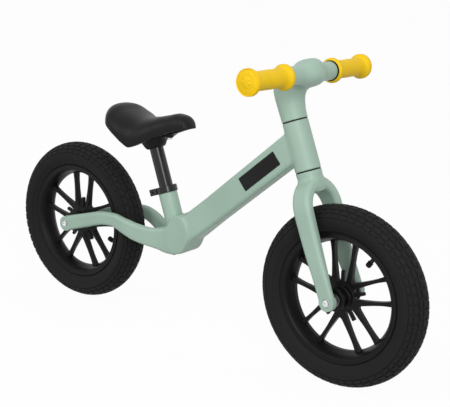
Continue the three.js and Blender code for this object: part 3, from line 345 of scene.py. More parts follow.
def turned(outline, segments, closed=False):
    """An outline of (radius, height) pairs turned about the Z axis. An open one starts and ends on
    the axis. A third value shapes its ring by angle, and so does a height that is a function."""
    rows = outline if closed else outline[1:-1]
    angles = np.linspace(0, 2 * math.pi, segments, endpoint=False)
    points = []
    for r, z, *shape in rows:
        for angle in angles:
            reach = r * shape[0](angle) if shape else r
            height = z(angle) if callable(z) else z
            points.append((reach * math.cos(angle), reach * math.sin(angle), height))
    faces = bands(len(rows), segments, closed)
    if not closed:
        for end, base in ((outline[0], 0), (outline[-1], (len(rows) - 1) * segments)):
            points.append((0, 0, end[1]))
            tip = len(points) - 1
            faces += [[base + j, base + (j + 1) % segments, tip] for j in range(segments)]
    return np.array(points), faces


ONTO_Y = np.array([[0, 0, 1], [1, 0, 0], [0, 1, 0]], float)  # turns Z into Y


def across(shape, side=1):
    """A turned shape laid along the Y axis, out to one side."""
    points, faces = shape
    return points @ ONTO_Y * (1, side, 1), faces


def placed(shape, place):
    """A shape drawn in a place's own axes, moved to where that is on the bike."""
    points, faces = shape
    return place.world(points), faces


def ring(inner, outer, low, high, corner=0.4, segments=64):
    """A plain ring with eased corners."""
    outline = [(inner, low), (outer, low), (outer, high), (inner, high)]
    return turned(rounded(outline, corner, closed=True), segments, closed=True)


def mirrored(half):
    """A closed outline from its half at heights of 0 and above."""
    return half + [(r, -z) for r, z in half[::-1] if z > 1e-6]


# ---------------- shader maths


class Value:
    """One output of a node. Arithmetic on it adds Math nodes."""

    def __init__(self, finish, socket):
        self.finish, self.socket = finish, socket

    def math(self, operation, *values):
        return self.finish.node("Math", {"operation": operation}, *values)

    def __add__(self, other):
        return self.math("ADD", self, other)

    def __radd__(self, other):
        return self.math("ADD", other, self)

    def __sub__(self, other):
        return self.math("SUBTRACT", self, other)

    def __rsub__(self, other):
        return self.math("SUBTRACT", other, self)

    def __mul__(self, other):
        return self.math("MULTIPLY", self, other)

    def __rmul__(self, other):
        return self.math("MULTIPLY", other, self)

    def between(self, low, high):
        """0 below low, 1 above high, and smooth in between."""
        settings = {"interpolation_type": "SMOOTHSTEP"}
        return self.finish.node("MapRange", settings, self, low, high, 0.0, 1.0)


class Finish:
    """A material in the making."""

    def __init__(self, name, library=None, output="OutputMaterial"):
        self.material = (bpy.data.materials if library is None else library).new(name)
        self.material.use_nodes = True
        self.tree = self.material.node_tree
        self.tree.nodes.clear()
        self.output = output

    def feed(self, socket, value):
        if isinstance(value, Value):
            self.tree.links.new(value.socket, socket)
        else:
            socket.default_value = value

    def node(self, kind, settings=None, *values, inputs=None, out=0):
        """Adds a node: its settings come first, then the values or links of its sockets."""
        node = self.tree.nodes.new("ShaderNode" + kind)
        for key, value in (settings or {}).items():
            if key == "stops":
                self.set_stops(node.color_ramp, value)
            else:
                setattr(node, key, value)
        for index, value in enumerate(values):
            self.feed(node.inputs[index], value)
        for key, value in (inputs or {}).items():
            self.feed(node.inputs[key], value)
        return None if out is None else Value(self, node.outputs[out])

    @staticmethod
    def set_stops(ramp, stops):
        while len(ramp.elements) < len(stops):
            ramp.elements.new(0.5)
        for element, (place, colour) in zip(ramp.elements, stops):
            element.position, element.color = place, colour

    def place(self, stretch=(1, 1, 1)):
        """The piece's own coordinates in metres, stretched."""
        point = self.node("TexCoord", out=3)
        return self.node("Mapping", {}, inputs={"Vector": point, "Scale": stretch})

    def noise(self, size, detail=2.0, roughness=0.5, stretch=(1, 1, 1)):
        """Noise whose features are about that many millimetres across."""
        inputs = {"Vector": self.place(stretch), "Scale": 1 / (size * MM), "Detail": detail,
                  "Roughness": roughness}
        return self.node("TexNoise", {}, inputs=inputs)

    def blend(self, first, second, share):
        """One colour to another."""
        settings = {"data_type": "RGBA"}
        return self.node("Mix", settings, inputs={0: share, 6: first, 7: second}, out=2)

    def seen_rays(self):
        """1 for what is seen straight on, in gloss or through glass, and 0 for falling light."""
        direct, gloss, through = (self.node("LightPath", out=ray) for ray in (0, 3, 6))
        return direct.math("MAXIMUM", direct, gloss.math("MAXIMUM", gloss, through))

    def bump(self, height, depth, strength=1.0):
        """A bump of that many millimetres."""
        inputs = {"Height": height, "Distance": depth * MM, "Strength": strength}
        return self.node("Bump", {}, inputs=inputs)

    def surface(self, **sockets):
        """The shader itself. Each socket's name is written with underscores."""
        inputs = {key.replace("_", " "): value for key, value in sockets.items()}
        return self.done(self.node("BsdfPrincipled", {}, inputs=inputs))

    def done(self, shader):
        self.node(self.output, {}, shader, out=None)
        return self.material


def shade(colour, factor):
    """A colour made lighter or darker, still opaque."""
    return (*(min(c * factor, 1.0) for c in colour[:3]), 1.0)


def paint_finish(colour):
    """Satin powder coat: a fine orange peel, and a slight drift in tone."""
    finish = Finish("satin_paint")
    drift = finish.noise(60, detail=2).between(0.3, 0.7)
    peel = finish.noise(0.9, detail=1)
    flecks = finish.noise(0.35, detail=0).between(0.66, 0.78)
    tone = finish.blend(shade(colour, 0.97), shade(colour, 1.03), drift)
    return finish.surface(
        Base_Color=finish.blend(tone, shade(colour, 1.12), flecks * 0.35),
        Roughness=0.44 + peel * 0.08,
        Normal=finish.bump(peel, 0.04, 0.5),
        Coat_Weight=0.12,
        Coat_Roughness=0.3,
    )


def rubber_finish(colour, name, roughness, grain, depth):
    """Moulded rubber with a fine grain, a little dusty."""
    finish = Finish(name)
    cloud = finish.noise(25, detail=3).between(0.35, 0.7)
    pores = finish.noise(grain, detail=2)
    return finish.surface(
        Base_Color=finish.blend(shade(colour, 0.98), shade(colour, 1.03), cloud),
        Roughness=roughness + cloud * 0.06 + pores * 0.05,
        Normal=finish.bump(pores, depth, 0.7),
        Specular_IOR_Level=0.3,
    )


def tyre_finish(colour):
    """Tread rubber: dark, matt, with a paler bloom in patches."""
    finish = Finish("tyre_rubber")
    bloom = finish.noise(30, detail=4, roughness=0.6).between(0.4, 0.75)
    grit = finish.noise(0.8, detail=3)
    return finish.surface(
        Base_Color=finish.blend(shade(colour, 0.85), shade(colour, 1.35), bloom),
        Roughness=0.66 + bloom * 0.12 + grit * 0.06,
        Normal=finish.bump(grit, 0.12, 0.7),
        Specular_IOR_Level=0.2,
    )


def nylon_finish(colour):
    """Moulded nylon with a spark-eroded grain."""
    finish = Finish("black_nylon")
    grain = finish.noise(0.5, detail=2)
    flow = finish.noise(40, detail=2).between(0.3, 0.7)
    return finish.surface(
        Base_Color=finish.blend(shade(colour, 0.9), shade(colour, 1.15), flow),
        Roughness=0.36 + grain * 0.14,
        Normal=finish.bump(grain, 0.05, 0.6),
        Specular_IOR_Level=0.16,
    )


def saddle_finish(colour):
    """Satin leathercloth: small irregular pebbles with softer, glossier crowns, and painted shade that darkens the
    creases between them.
    """
    finish = Finish("saddle_cover")
    inputs = {"Vector": finish.place(), "Scale": 1 / (1.3 * MM)}
    pebble = finish.node("TexVoronoi", {"feature": "SMOOTH_F1"}, inputs=inputs)
    shaded_crease = pebble.between(0.25, 0.75)
    wear = finish.noise(35, detail=2).between(0.35, 0.7)
    return finish.surface(
        # painted shade: creases between the pebbles darker and their crowns lighter, plus a darker drift named
        # wear
        Base_Color=finish.blend(shade(colour, 1.1), shade(colour, 0.8), shaded_crease * 0.6 + wear * 0.2),
        Roughness=0.36 + shaded_crease * 0.1 + wear * 0.05,
        Normal=finish.bump(1 - shaded_crease, 0.06, 0.5),
        Specular_IOR_Level=0.17,
    )


def enamel_finish(colour):
    """Gloss black enamel with faint drawing lines under it."""
    finish = Finish("black_enamel")
    lines = finish.noise(0.6, detail=1, stretch=(1, 1, 0.05))
    ripple = finish.noise(8, detail=1)
    return finish.surface(
        Base_Color=finish.blend(shade(colour, 0.9), shade(colour, 1.2), ripple),
        Roughness=0.14 + lines * 0.06,
        Normal=finish.bump(lines, 0.01, 0.5),
        Specular_IOR_Level=0.45,
    )


def steel_finish(colour, name, roughness):
    """Turned or plated steel, its fine marks running round."""
    finish = Finish(name)
    marks = finish.noise(0.25, detail=2, stretch=(1, 0.1, 1))
    stain = finish.noise(4, detail=3).between(0.4, 0.8)
    return finish.surface(
        Base_Color=finish.blend(colour, shade(colour, 0.8), stain * 0.6),
        Metallic=1.0,
        Roughness=roughness + marks * 0.12 + stain * 0.08,
        Normal=finish.bump(marks, 0.015, 0.5),
    )


def film_finish(colour):
    """Self-adhesive film: satin, with a faint orange peel."""
    finish = Finish("badge_film")
    peel = finish.noise(1.2, detail=1)
    scuffs = finish.noise(3, detail=4, stretch=(0.2, 1, 1)).between(0.62, 0.8)
    return finish.surface(
        Base_Color=finish.blend(colour, shade(colour, 2.0), scuffs * 0.5),
        Roughness=0.28 + scuffs * 0.2 + peel * 0.05,
        Normal=finish.bump(peel, 0.02, 0.4),
        Specular_IOR_Level=0.2,
    )


FINISHES = {}


def look(slot):
    """The material for one of the record's slots, made once."""
    if slot not in FINISHES:
        tones = bpy.context.scene.bike_colours
        made = {
            "green_paint": lambda: paint_finish(tones.castings),
            "grip_rubber": lambda: rubber_finish(tones.grips, "grip_rubber", 0.5, 0.6, 0.05),
            "tyre_rubber": lambda: tyre_finish(tones.tyres),
            "tube_rubber": lambda: rubber_finish(tones.tyres, "tube_rubber", 0.5, 1.5, 0.03),
            "black_nylon": lambda: nylon_finish(tones.plastics),
            "saddle_cover": lambda: saddle_finish(tones.saddle),
            "black_enamel": lambda: enamel_finish(tones.enamel),
            "bright_steel": lambda: steel_finish(tones.bright_steel, "bright_steel", 0.22),
            "plain_steel": lambda: steel_finish(tones.plain_steel, "plain_steel", 0.34),
            "badge_film": lambda: film_finish(tones.badge),
        }
        FINISHES[slot] = made[slot]()
    return FINISHES[slot]


def settle(piece, body, slot, node):
    """Gives a piece its finish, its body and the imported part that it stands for."""
    piece.data.materials.clear()
    piece.data.materials.append(look(slot))
    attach(piece, body)
    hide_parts(node)
    return piece


def fitted(name, body, slot, node, *shapes, sharp=35):
    """A piece made from shapes and settled. Edges over that many degrees stay sharp."""
    return settle(finished(mesh(name, *shapes), sharp), body, slot, node)


def painted(name, field, node, body):
    """Casts one of the painted pieces from its field."""
    step = bpy.context.scene.bike_castings.grid / MM
    settle(cast_round(name, field, node, step), body, "green_paint", node)


# ---------------- settings


def amount(name, description, default, low, high, **kind):
    return bpy.props.FloatProperty(
        name=name, description=description, default=default, min=low, max=high, **kind)


def length(name, description, default, low, high):
    """A length, given in millimetres."""
    return amount(name, description, default * MM, low * MM, high * MM,
                  subtype="DISTANCE", unit="LENGTH", precision=4)


def power(name, description, default):
    return amount(name, description, default, 0.0, 500.0, subtype="POWER", unit="POWER")


def colour(name, description, default):
    return bpy.props.FloatVectorProperty(
        name=name, description=description, default=(*default, 1.0), min=0.0, max=1.0, size=4,
        subtype="COLOR")


class BikeColours(bpy.types.PropertyGroup):
    castings: colour("Castings", "Paint on the frame, fork and stem", (0.372, 0.525, 0.430))
    grips: colour("Grips", "Rubber of the grips", (0.97, 0.625, 0.004))
    tyres: colour("Tyres", "Rubber of the tyres", (0.0095, 0.0095, 0.0095))
    plastics: colour("Plastics", "Moulded wheels, rings and saddle base", (0.0045, 0.0042, 0.0045))
    saddle: colour("Saddle", "Saddle cover", (0.0085, 0.008, 0.0078))
    enamel: colour("Enamel", "Seat post, clamp and handlebar tube", (0.002, 0.002, 0.002))
    badge: colour("Badge", "Film on the down tube", (0.006, 0.0058, 0.0058))
    bright_steel: colour("Bright steel", "Bolts, washers and screws", (0.75, 0.77, 0.78))
    plain_steel: colour("Plain steel", "Axles, bearings and spacers", (0.33, 0.33, 0.34))


class BikeCastings(bpy.types.PropertyGroup):
    grid: length("Grid", "Size of the castings' mesh", 1.6, 0.5, 6)
    large_fillet: length("Large fillet", "Where tubes run into the junction", 13, 1, 30)
    small_fillet: length("Small fillet", "Where the down tube meets the head tube", 3.5, 1, 20)
    crown_fillet: length("Crown fillet", "Between the fork's arch and its neck", 10, 1, 30)
    stem_fillet: length("Stem fillet", "Between the stem's neck and its arms", 12, 1, 40)


class BikeWheels(bpy.types.PropertyGroup):
    tread_depth: length("Tread depth", "Height of the tyres' blocks", 1.7, 0.2, 4)
    block_length: length("Block length", "Length of each block round the tyre", 12.0, 2, 20)
    blocks: bpy.props.IntProperty(
        name="Blocks", description="Blocks in each row of the tread", default=58, min=20, max=140)
    spoke_depth: length("Spoke depth", "Spokes along the axle", 11, 4, 20)
    spoke_fillet: length("Spoke fillet", "Between neighbouring spokes and the hub", 9, 1, 20)


class BikeSeat(bpy.types.PropertyGroup):
    crown: amount("Crown", "How square the saddle's section is", 0.85, 0.5, 1.2)
    fill: amount("Fill", "How full the saddle's foam is", 0.9, 0.0, 1.0, subtype="FACTOR")


class BikeStage(bpy.types.PropertyGroup):
    world: amount("World", "Strength of the light from all round", 0.52, 0.0, 3.0)
    key: power("Key", "Power of the soft box on the front right", 28.0)
    fill: power("Fill", "Power of the soft box on the left", 20.5)


# ---------------- the frame


NECK_RADIUS = 21.0  # of the head tube, and of the fork's and the stem's necks where they meet it
DROPOUT_INNER, DROPOUT_OUTER, DROPOUT_RIM = 37.5, 48.5, 1.2  # its faces, out from the middle
BOLT_HOLE, BOLT_POCKET, POCKET_FLOOR = 3.3, 6.9, 45.5  # two radii, and the pocket's depth
PAST_DROPOUT = 30, 60  # inside and outside both dropouts of an axle
SMALL_RIM = 0.6


def dropout(from_axle, side, radius):
    """The round ends that hold an axle, by the distances from its line and from the middle."""
    return between(from_axle - radius, side, DROPOUT_INNER, DROPOUT_OUTER, DROPOUT_RIM)


def bored(body, from_axle, side):
    """A body with the holes and pockets of its axle's bolts."""
    body = carved(body, between(from_axle - BOLT_HOLE, side, *PAST_DROPOUT), SMALL_RIM)
    pocket = between(from_axle - BOLT_POCKET, side, POCKET_FLOOR, PAST_DROPOUT[1])
    return carved(body, pocket, SMALL_RIM)


class BIKE_OT_frame(bpy.types.Operator):
    """Casts the frame: tubes, junction, stays, yoke and dropouts in one piece"""

    bl_idname = "bike.frame"
    bl_label = "Frame"

    HEAD_LOW, HEAD_HIGH, HEAD_RIM, PAST_HEAD = 206.9, 286.9, 1.6, (190, 300)
    HEAD_BORE, POCKET, POCKET_DEPTH = 14.8, 17.3, 7.3  # a pocket holds a bearing
    BOSS = 24.0, 35.0, 26.0  # half its length, height and width
    BOSS_INNER, BOSS_RIM = 8, 4
    CORE_DROP, CORE_INSET = 7, 3  # what the boss's middle is smaller by
    TUBE_START, TUBE_END = np.array([-36.0, 178.2]), np.array([191.2, 381.2])  # along X and Z
    TUBE_HALF_HEIGHTS = 22.7, 24.6  # at its start and its end
    TUBE_HALF_WIDTHS, TUBE_NARROWING = (BOSS[2] - 3.5, 17.0), (20, 95)
    TUBE_CORNER, TUBE_RIM = 7.5, 2
    SEAT_TUBE, SEAT_BORE = (16.6, -10, 81.0, 0.8), (12.8, -20, 100)  # radius, foot, top and rim
    SLOT, SLOT_MIDDLE, SLOT_SPAN = (1.3, 21, 1.2), 77, (-30, 0)  # half sizes and corner first
    OUTER_ENDS, OUTER_NARROWING = (DROPOUT_OUTER, 25.5), (0.52, 0.88)
    OUTER_SLACK, OUTER_RIM = 0.5, 1.5
    STAY_CLIMB, STAY_HALF_HEIGHT, STAY_CORNER = 32, 14.5, 6.5
    STAY_THICKNESSES, STAY_SWELLING = (11.0, 15.0), (0.09, 0.3)
    STAY_SHORTFALL, STAY_RIM, NUDGE = 6, 1, 0.02
    STAY_RISE = Curve((0, 0), (0.18, 0.48), (0.37, 0.93), (0.48, 1), (0.57, 0.81), (0.66, 0.57),
                      (0.75, 0.43), (0.86, 0.43), (1, 0.6))
    STAY_HEIGHT = Curve((0, 0.96), (0.2, 0.9), (0.48, 0.86), (0.66, 1.08), (0.8, 1.28),
                        (0.9, 1.65), (1, 1.75))
    YOKE, YOKE_HEIGHT, YOKE_SPAN = (18.5, 10, 5), 160, (-114, -48, 3)  # its span's rim last
    YOKE_FILLET, STAY_FILLET = 7, 9
    DROPOUT_RADIUS = 14.0

    def down_tube(self, p):
        line = self.TUBE_END - self.TUBE_START
        reach = np.linalg.norm(line)
        line = line / reach
        from_start = p[:, [0, 2]] - self.TUBE_START
        along = from_start @ line
        above = from_start @ np.array([-line[1], line[0]])
        half_height = mixed(*self.TUBE_HALF_HEIGHTS, np.clip(along / reach, 0, 1))
        half_width = mixed(*self.TUBE_HALF_WIDTHS, smoothstep(along, *self.TUBE_NARROWING))
        profile = rounded_rectangle(p[:, 1], above, half_width, half_height, self.TUBE_CORNER)
        return between(profile, along, 0, reach, self.TUBE_RIM)

    def boss(self, p):
        """The junction's flat-faced disc on each side, and the smaller middle that joins them."""
        ahead, side, above = (p - np.array(JUNCTION)).T
        half_length, half_height, half_width = self.BOSS
        disc = ellipse(ahead, above, half_length, half_height)
        disc = between(disc, np.abs(side), self.BOSS_INNER, half_width, self.BOSS_RIM)
        core = ellipse(ahead, above + self.CORE_DROP, half_length, half_height - self.CORE_DROP)
        core_width = half_width - self.CORE_INSET
        return np.minimum(between(core, side, -core_width, core_width, self.BOSS_RIM), disc)

    def outer(self, share):
        """Half the frame's width, by the share of the way from the axle to the junction."""
        return mixed(*self.OUTER_ENDS, smoothstep(share, *self.OUTER_NARROWING))

    def stays(self, p):
        reach = JUNCTION.x - AXLES["rear"].x
        share = (p[:, 0] - AXLES["rear"].x) / reach
        centre = lambda s: AXLES["rear"].z + self.STAY_CLIMB * self.STAY_RISE(s)
        slope = lambda line: (line(share + self.NUDGE) - line(share - self.NUDGE)) / (
            2 * self.NUDGE * reach)
        half_thickness = mixed(*self.STAY_THICKNESSES, smoothstep(share, *self.STAY_SWELLING)) / 2
        across = np.abs(p[:, 1]) - self.outer(share) + half_thickness
        across = across / np.hypot(1, slope(self.outer))
        above = (p[:, 2] - centre(share)) / np.hypot(1, slope(centre))
        half_height = self.STAY_HALF_HEIGHT * self.STAY_HEIGHT(share)
        profile = rounded_rectangle(across, above, half_thickness, half_height, self.STAY_CORNER)
        end = JUNCTION.x - self.STAY_SHORTFALL
        return between(profile, p[:, 0], AXLES["rear"].x, end, self.STAY_RIM)

    def field(self, p):
        sizes = bpy.context.scene.bike_castings
        large, small = sizes.large_fillet / MM, sizes.small_fillet / MM
        head, seat, side = STEERING.local(p), SEAT.local(p), np.abs(p[:, 1])
        body = blended(self.down_tube(p), rod(seat, *self.SEAT_TUBE), small)
        head_tube = rod(head, NECK_RADIUS, self.HEAD_LOW, self.HEAD_HIGH, self.HEAD_RIM)
        body = blended(blended(head_tube, body, small), self.boss(p), large * 0.5)
        ahead, _, above = (p - np.array(AXLES["rear"])).T
        from_axle = np.hypot(ahead, above)
        stays = np.minimum(self.stays(p), dropout(from_axle, side, self.DROPOUT_RADIUS))
        yoke = rounded_rectangle(p[:, 1], p[:, 2] - self.YOKE_HEIGHT, *self.YOKE)
        yoke = between(yoke, p[:, 0], *self.YOKE_SPAN)
        body = blended(body, blended(stays, yoke, self.YOKE_FILLET), self.STAY_FILLET)
        outer = self.outer(ahead / (JUNCTION.x - AXLES["rear"].x)) + self.OUTER_SLACK
        body = carved(body, outer - side, self.OUTER_RIM)
        low, high = self.PAST_HEAD
        body = carved(body, rod(head, self.HEAD_BORE, low, high))
        body = carved(body, rod(head, self.POCKET, low, self.HEAD_LOW + self.POCKET_DEPTH))
        body = carved(body, rod(head, self.POCKET, self.HEAD_HIGH - self.POCKET_DEPTH, high))
        body = carved(body, rod(seat, *self.SEAT_BORE))
        slot = rounded_rectangle(seat[:, 1], seat[:, 2] - self.SLOT_MIDDLE, *self.SLOT)
        body = carved(body, between(slot, seat[:, 0], *self.SLOT_SPAN), SMALL_RIM)
        return bored(body, from_axle, side)

    def execute(self, context):
        painted("frame_casting", self.field, "frame", "frame")
        return {"FINISHED"}


# ---------------- the fork


class BIKE_OT_fork(bpy.types.Operator):
    """Casts the fork: two blades, the arch over the wheel and the neck"""

    bl_idname = "bike.fork"
    bl_label = "Fork"

    CROWN_CENTRE, ARCH_RADIUS, CORNER, DROPOUT_RADIUS = 143.0, 41.25, 7.5, 13.8
    WIDTH = Curve((-40, 27.6), (0, 27.6), (22, 27.8), (52, 29), (98, 31), (143, 32.5), (192, 34))
    THICKNESS = Curve((-40, 11), (0, 11), (22, 11.6), (52, 15.5), (98, 18), (143, 18.5),
                      (165, 18.5), (192, 20.5))
    LEAD = Curve((-40, 0), (0, 0), (30, -0.8), (70, -1.8), (110, -1.2), (150, 0), (190, 0))
    SPLAY = Curve((-40, 0), (0, 0), (30, 0), (90, 1.0), (143, 2.0), (192, 2.0))
    NECK = Curve((150, 17), (189, 17.2), (199, NECK_RADIUS - 0.4), (205, NECK_RADIUS))
    NECK_SPAN, BORE = (182, 205.0, 0.8), (13.0, 172, 220)
    CUP = 15.0, 170.5, 190, 1.5  # round the steerer's foot: its radius, foot, top and rim

    def field(self, p):
        q = STEERING.local(p)
        side, height = np.abs(q[:, 1]), q[:, 2]
        half_thickness, half_width = self.THICKNESS(height) / 2, self.WIDTH(height) / 2
        arch = np.hypot(q[:, 1], np.maximum(height - self.CROWN_CENTRE, 0)) - self.ARCH_RADIUS
        leg = side - DROPOUT_OUTER - self.SPLAY(height) + half_thickness
        across = np.where(height > self.CROWN_CENTRE, arch, leg)
        ahead = q[:, 0] - self.LEAD(height)
        blades = rounded_rectangle(across, ahead, half_thickness, half_width, self.CORNER)
        blades = np.maximum(blades, -height)
        from_axle = np.hypot(q[:, 0], height)
        blades = np.minimum(blades, dropout(from_axle, side, self.DROPOUT_RADIUS))
        neck = np.hypot(q[:, 0], q[:, 1]) - self.NECK(height)
        neck = between(neck, height, *self.NECK_SPAN)
        fillet = bpy.context.scene.bike_castings.crown_fillet / MM
        body = blended(blades, np.minimum(neck, rod(q, *self.CUP)), fillet)
        body = carved(body, rod(q, *self.BORE))
        return bored(body, from_axle, side)

    def execute(self, context):
        painted("fork_casting", self.field, "fork", "steering")
        return {"FINISHED"}


# ---------------- the stem


class BIKE_OT_stem(bpy.types.Operator):
    """Casts the T-shaped stem: a neck that swells into a bulge with an arm to each side"""

    bl_idname = "bike.stem"
    bl_label = "Stem"

    FOOT, RISE, REACH, RIM = 288.8, 62.5, 47.5, 0.8
    LEAD = Curve((0, 0), (0.3, 0.03), (0.54, 0.14), (0.7, 0.32), (0.86, 0.57), (1, 0.6),
                 (1.09, 0.56), (1.14, 0.5), (1.3, 0.4))
    SWELL = Curve((0, 1), (0.3, 1.02), (0.54, 1.05), (0.7, 1.07), (0.86, 1.05), (1, 0.9),
                  (1.09, 0.65), (1.14, 0.3), (1.3, 0.1))
    FRONT_SWELL, NECK_END = 1.02, 1.14  # the most in front, and where the neck ends
    ARM_RADIUS, HALF_WIDTH = 15.0, 62.0
    DRUM_LEAD, DRUM_RADIUS, DRUM_LOW, DRUM_HIGH = 2.0, 23.8, 18.5, 21.2
    DRUM_CORNER, DRUM_FILLET = 16.5, 16.0
    STEERER_BORE, BORE_START, BORE_DEPTH, BAR_BORE = 13.0, 270, 42, 11.4
    SCREW_RISES, SCREW_HOLE, SCREW_SPAN, SCREW_RIM = (12, 28), 3.3, (-30, -12.7), 0.5

    def field(self, p):
        q = STEERING.local(p)
        ahead, side, height = q.T
        share = (height - self.FOOT) / self.RISE
        back = NECK_RADIUS * self.SWELL(share)
        front = NECK_RADIUS * np.minimum(self.SWELL(share), self.FRONT_SWELL)
        front = front + self.REACH * self.LEAD(share)
        neck = ellipse(ahead - (front - back) / 2, side, (back + front) / 2, back)
        neck = between(neck, height, self.FOOT, self.FOOT + self.NECK_END * self.RISE, self.RIM)
        middle = self.FOOT + self.RISE
        from_bar = np.hypot(ahead - self.REACH, height - middle)
        width = self.HALF_WIDTH
        arms = between(from_bar - self.ARM_RADIUS, side, -width, width, self.RIM)
        drum = np.hypot(ahead - self.REACH - self.DRUM_LEAD, side) - self.DRUM_RADIUS
        low, high = middle - self.DRUM_LOW, middle + self.DRUM_HIGH
        arms = blended(arms, between(drum, height, low, high, self.DRUM_CORNER), self.DRUM_FILLET)
        body = blended(neck, arms, bpy.context.scene.bike_castings.stem_fillet / MM)
        body = carved(body, rod(q, self.STEERER_BORE, self.BORE_START, self.FOOT + self.BORE_DEPTH))
        body = carved(body, from_bar - self.BAR_BORE)
        for rise in self.SCREW_RISES:
            screw = np.hypot(side, height - self.FOOT - rise) - self.SCREW_HOLE
            body = carved(body, between(screw, ahead, *self.SCREW_SPAN), self.SCREW_RIM)
        return body

    def execute(self, context):
        painted("stem_casting", self.field, "handlebar_stem", "steering")
        return {"FINISHED"}


# ---------------- wheels

WHEEL_PAIRS = 5  # pairs of spokes
PAIR_TURN = 2 * math.pi / WHEEL_PAIRS
SPOKE_FOOT, SPOKE_TIP = np.array([12.4, 20.0]), np.array([20.7, 93.5])  # across, out from the axle
SPOKE_HALF_WIDTH = Curve((0, 5.6), (0.3, 4.0), (0.55, 3.05), (0.8, 3.4), (0.93, 4.7), (1, 6.4))
SPOKE_RIM, HUB_RIM = 1.8, 0.8
HUB_RADIUS, HUB_BARREL, HUB_END, HUB_HALF_LENGTH = 25.0, 16.3, 19.0, 26.0
COLLAR_LENGTH, COLLAR_FILLET, BARREL_FILLET, HUB_FILLET = 5, 3, 5, 3
AXLE_BORE, BEARING_SEAT, BEARING_SEAT_DEPTH = 8, 11.3, 6.3
PEG, PEG_MIDDLE, PEG_HALF_DEPTH = (2.8, 10, 0.8), 33, 3.2  # half sizes and corner first


def spoke(across_pair, out):
    line = SPOKE_TIP - SPOKE_FOOT
    reach = np.linalg.norm(line)
    line = line / reach
    across_foot, out_foot = across_pair - SPOKE_FOOT[0], out - SPOKE_FOOT[1]
    along = across_foot * line[0] + out_foot * line[1]
    aside = np.abs(across_foot * line[1] - out_foot * line[0])
    return between(aside - SPOKE_HALF_WIDTH(along / reach), along, -2, reach)


def star(q):
    """Hub, spokes and pegs in a wheel's own axes."""
    sizes = bpy.context.scene.bike_wheels
    half_depth, fillet = sizes.spoke_depth / MM / 2, sizes.spoke_fillet / MM
    side, radius = np.abs(q[:, 1]), np.hypot(q[:, 0], q[:, 2])
    angle = np.arctan2(q[:, 0], q[:, 2])
    angle = np.abs((angle + PAIR_TURN / 2) % PAIR_TURN - PAIR_TURN / 2)
    out, aside = radius * np.cos(angle), radius * np.sin(angle)
    next_angle = PAIR_TURN - angle
    neighbour = spoke(radius * np.sin(next_angle), radius * np.cos(next_angle))
    spokes = blended(spoke(aside, out), neighbour, fillet)
    slab = lambda profile, half, rim: between(profile, side, -half, half, rim)
    spokes = slab(spokes, half_depth, SPOKE_RIM)
    hub = slab(radius - HUB_RADIUS, half_depth, SPOKE_RIM)
    barrel = slab(radius - HUB_BARREL, HUB_HALF_LENGTH, HUB_RIM)
    collar_start = HUB_HALF_LENGTH - COLLAR_LENGTH
    collar = between(radius - HUB_END, side, collar_start, HUB_HALF_LENGTH, HUB_RIM)
    hub = blended(hub, blended(barrel, collar, COLLAR_FILLET), BARREL_FILLET)
    peg = rounded_rectangle(aside, out - PEG_MIDDLE, *PEG)
    body = np.minimum(blended(spokes, hub, HUB_FILLET), slab(peg, PEG_HALF_DEPTH, HUB_RIM))
    seat = between(radius - BEARING_SEAT, side, HUB_HALF_LENGTH - BEARING_SEAT_DEPTH, 40)
    return carved(carved(body, seat, 0.5), radius - AXLE_BORE, 0.5)


class BIKE_OT_rims(bpy.types.Operator):
    """Moulds both wheels' hoops, spokes and hubs"""

    bl_idname = "bike.rims"
    bl_label = "Rims"

    GRID, ROOM = 1.15, (5, 3)  # room past the spokes' tips and the hub's ends
    EASING, SEGMENTS = (0.7, 2), 160
    HOOP = [(90, 0), (90, 7.2), (91.2, 9.2), (94.2, 11.4), (97, 16.6), (99.4, 19.6), (101.6, 19.9),
            (103, 19.0), (104.6, 19.6), (106.2, 19.8), (107, 19.2), (107, 17.4), (98.7, 17.3),
            (96, 14.3)]

    def execute(self, context):
        reach, depth = SPOKE_TIP[1] + self.ROOM[0], HUB_HALF_LENGTH + self.ROOM[1]
        shape = skin(star, (-reach, -depth, -reach), (reach, depth, reach), self.GRID)
        outline = rounded(mirrored(self.HOOP)[:-2], *self.EASING, closed=True)
        hoop = turned(outline, self.SEGMENTS, closed=True)
        for end in ENDS:
            body, rim, place = f"{end}_wheel", f"{end}_rim", WHEELS[end]
            spokes = cast(f"{end}_spokes_and_hub", *shape, place=place)
            settle(spokes, body, "black_nylon", rim)
            hoop_shape = placed(across(hoop), place)
            fitted(f"{end}_hoop", body, "black_nylon", rim, hoop_shape, sharp=24)
        return {"FINISHED"}


TYRE_MIDDLE, TYRE_HALF_HEIGHT, TYRE_HALF_WIDTH, TYRE_WALL = 127.0, 22.0, 26.0, 3.0


def tyre_point(angle, lift=0.0):
    """Radius and place across the tyre, by the section's angle from the crown in degrees."""
    angle = np.radians(angle)
    out, side = TYRE_HALF_HEIGHT + lift, TYRE_HALF_WIDTH + lift
    return TYRE_MIDDLE + out * np.cos(angle), side * np.sin(angle)


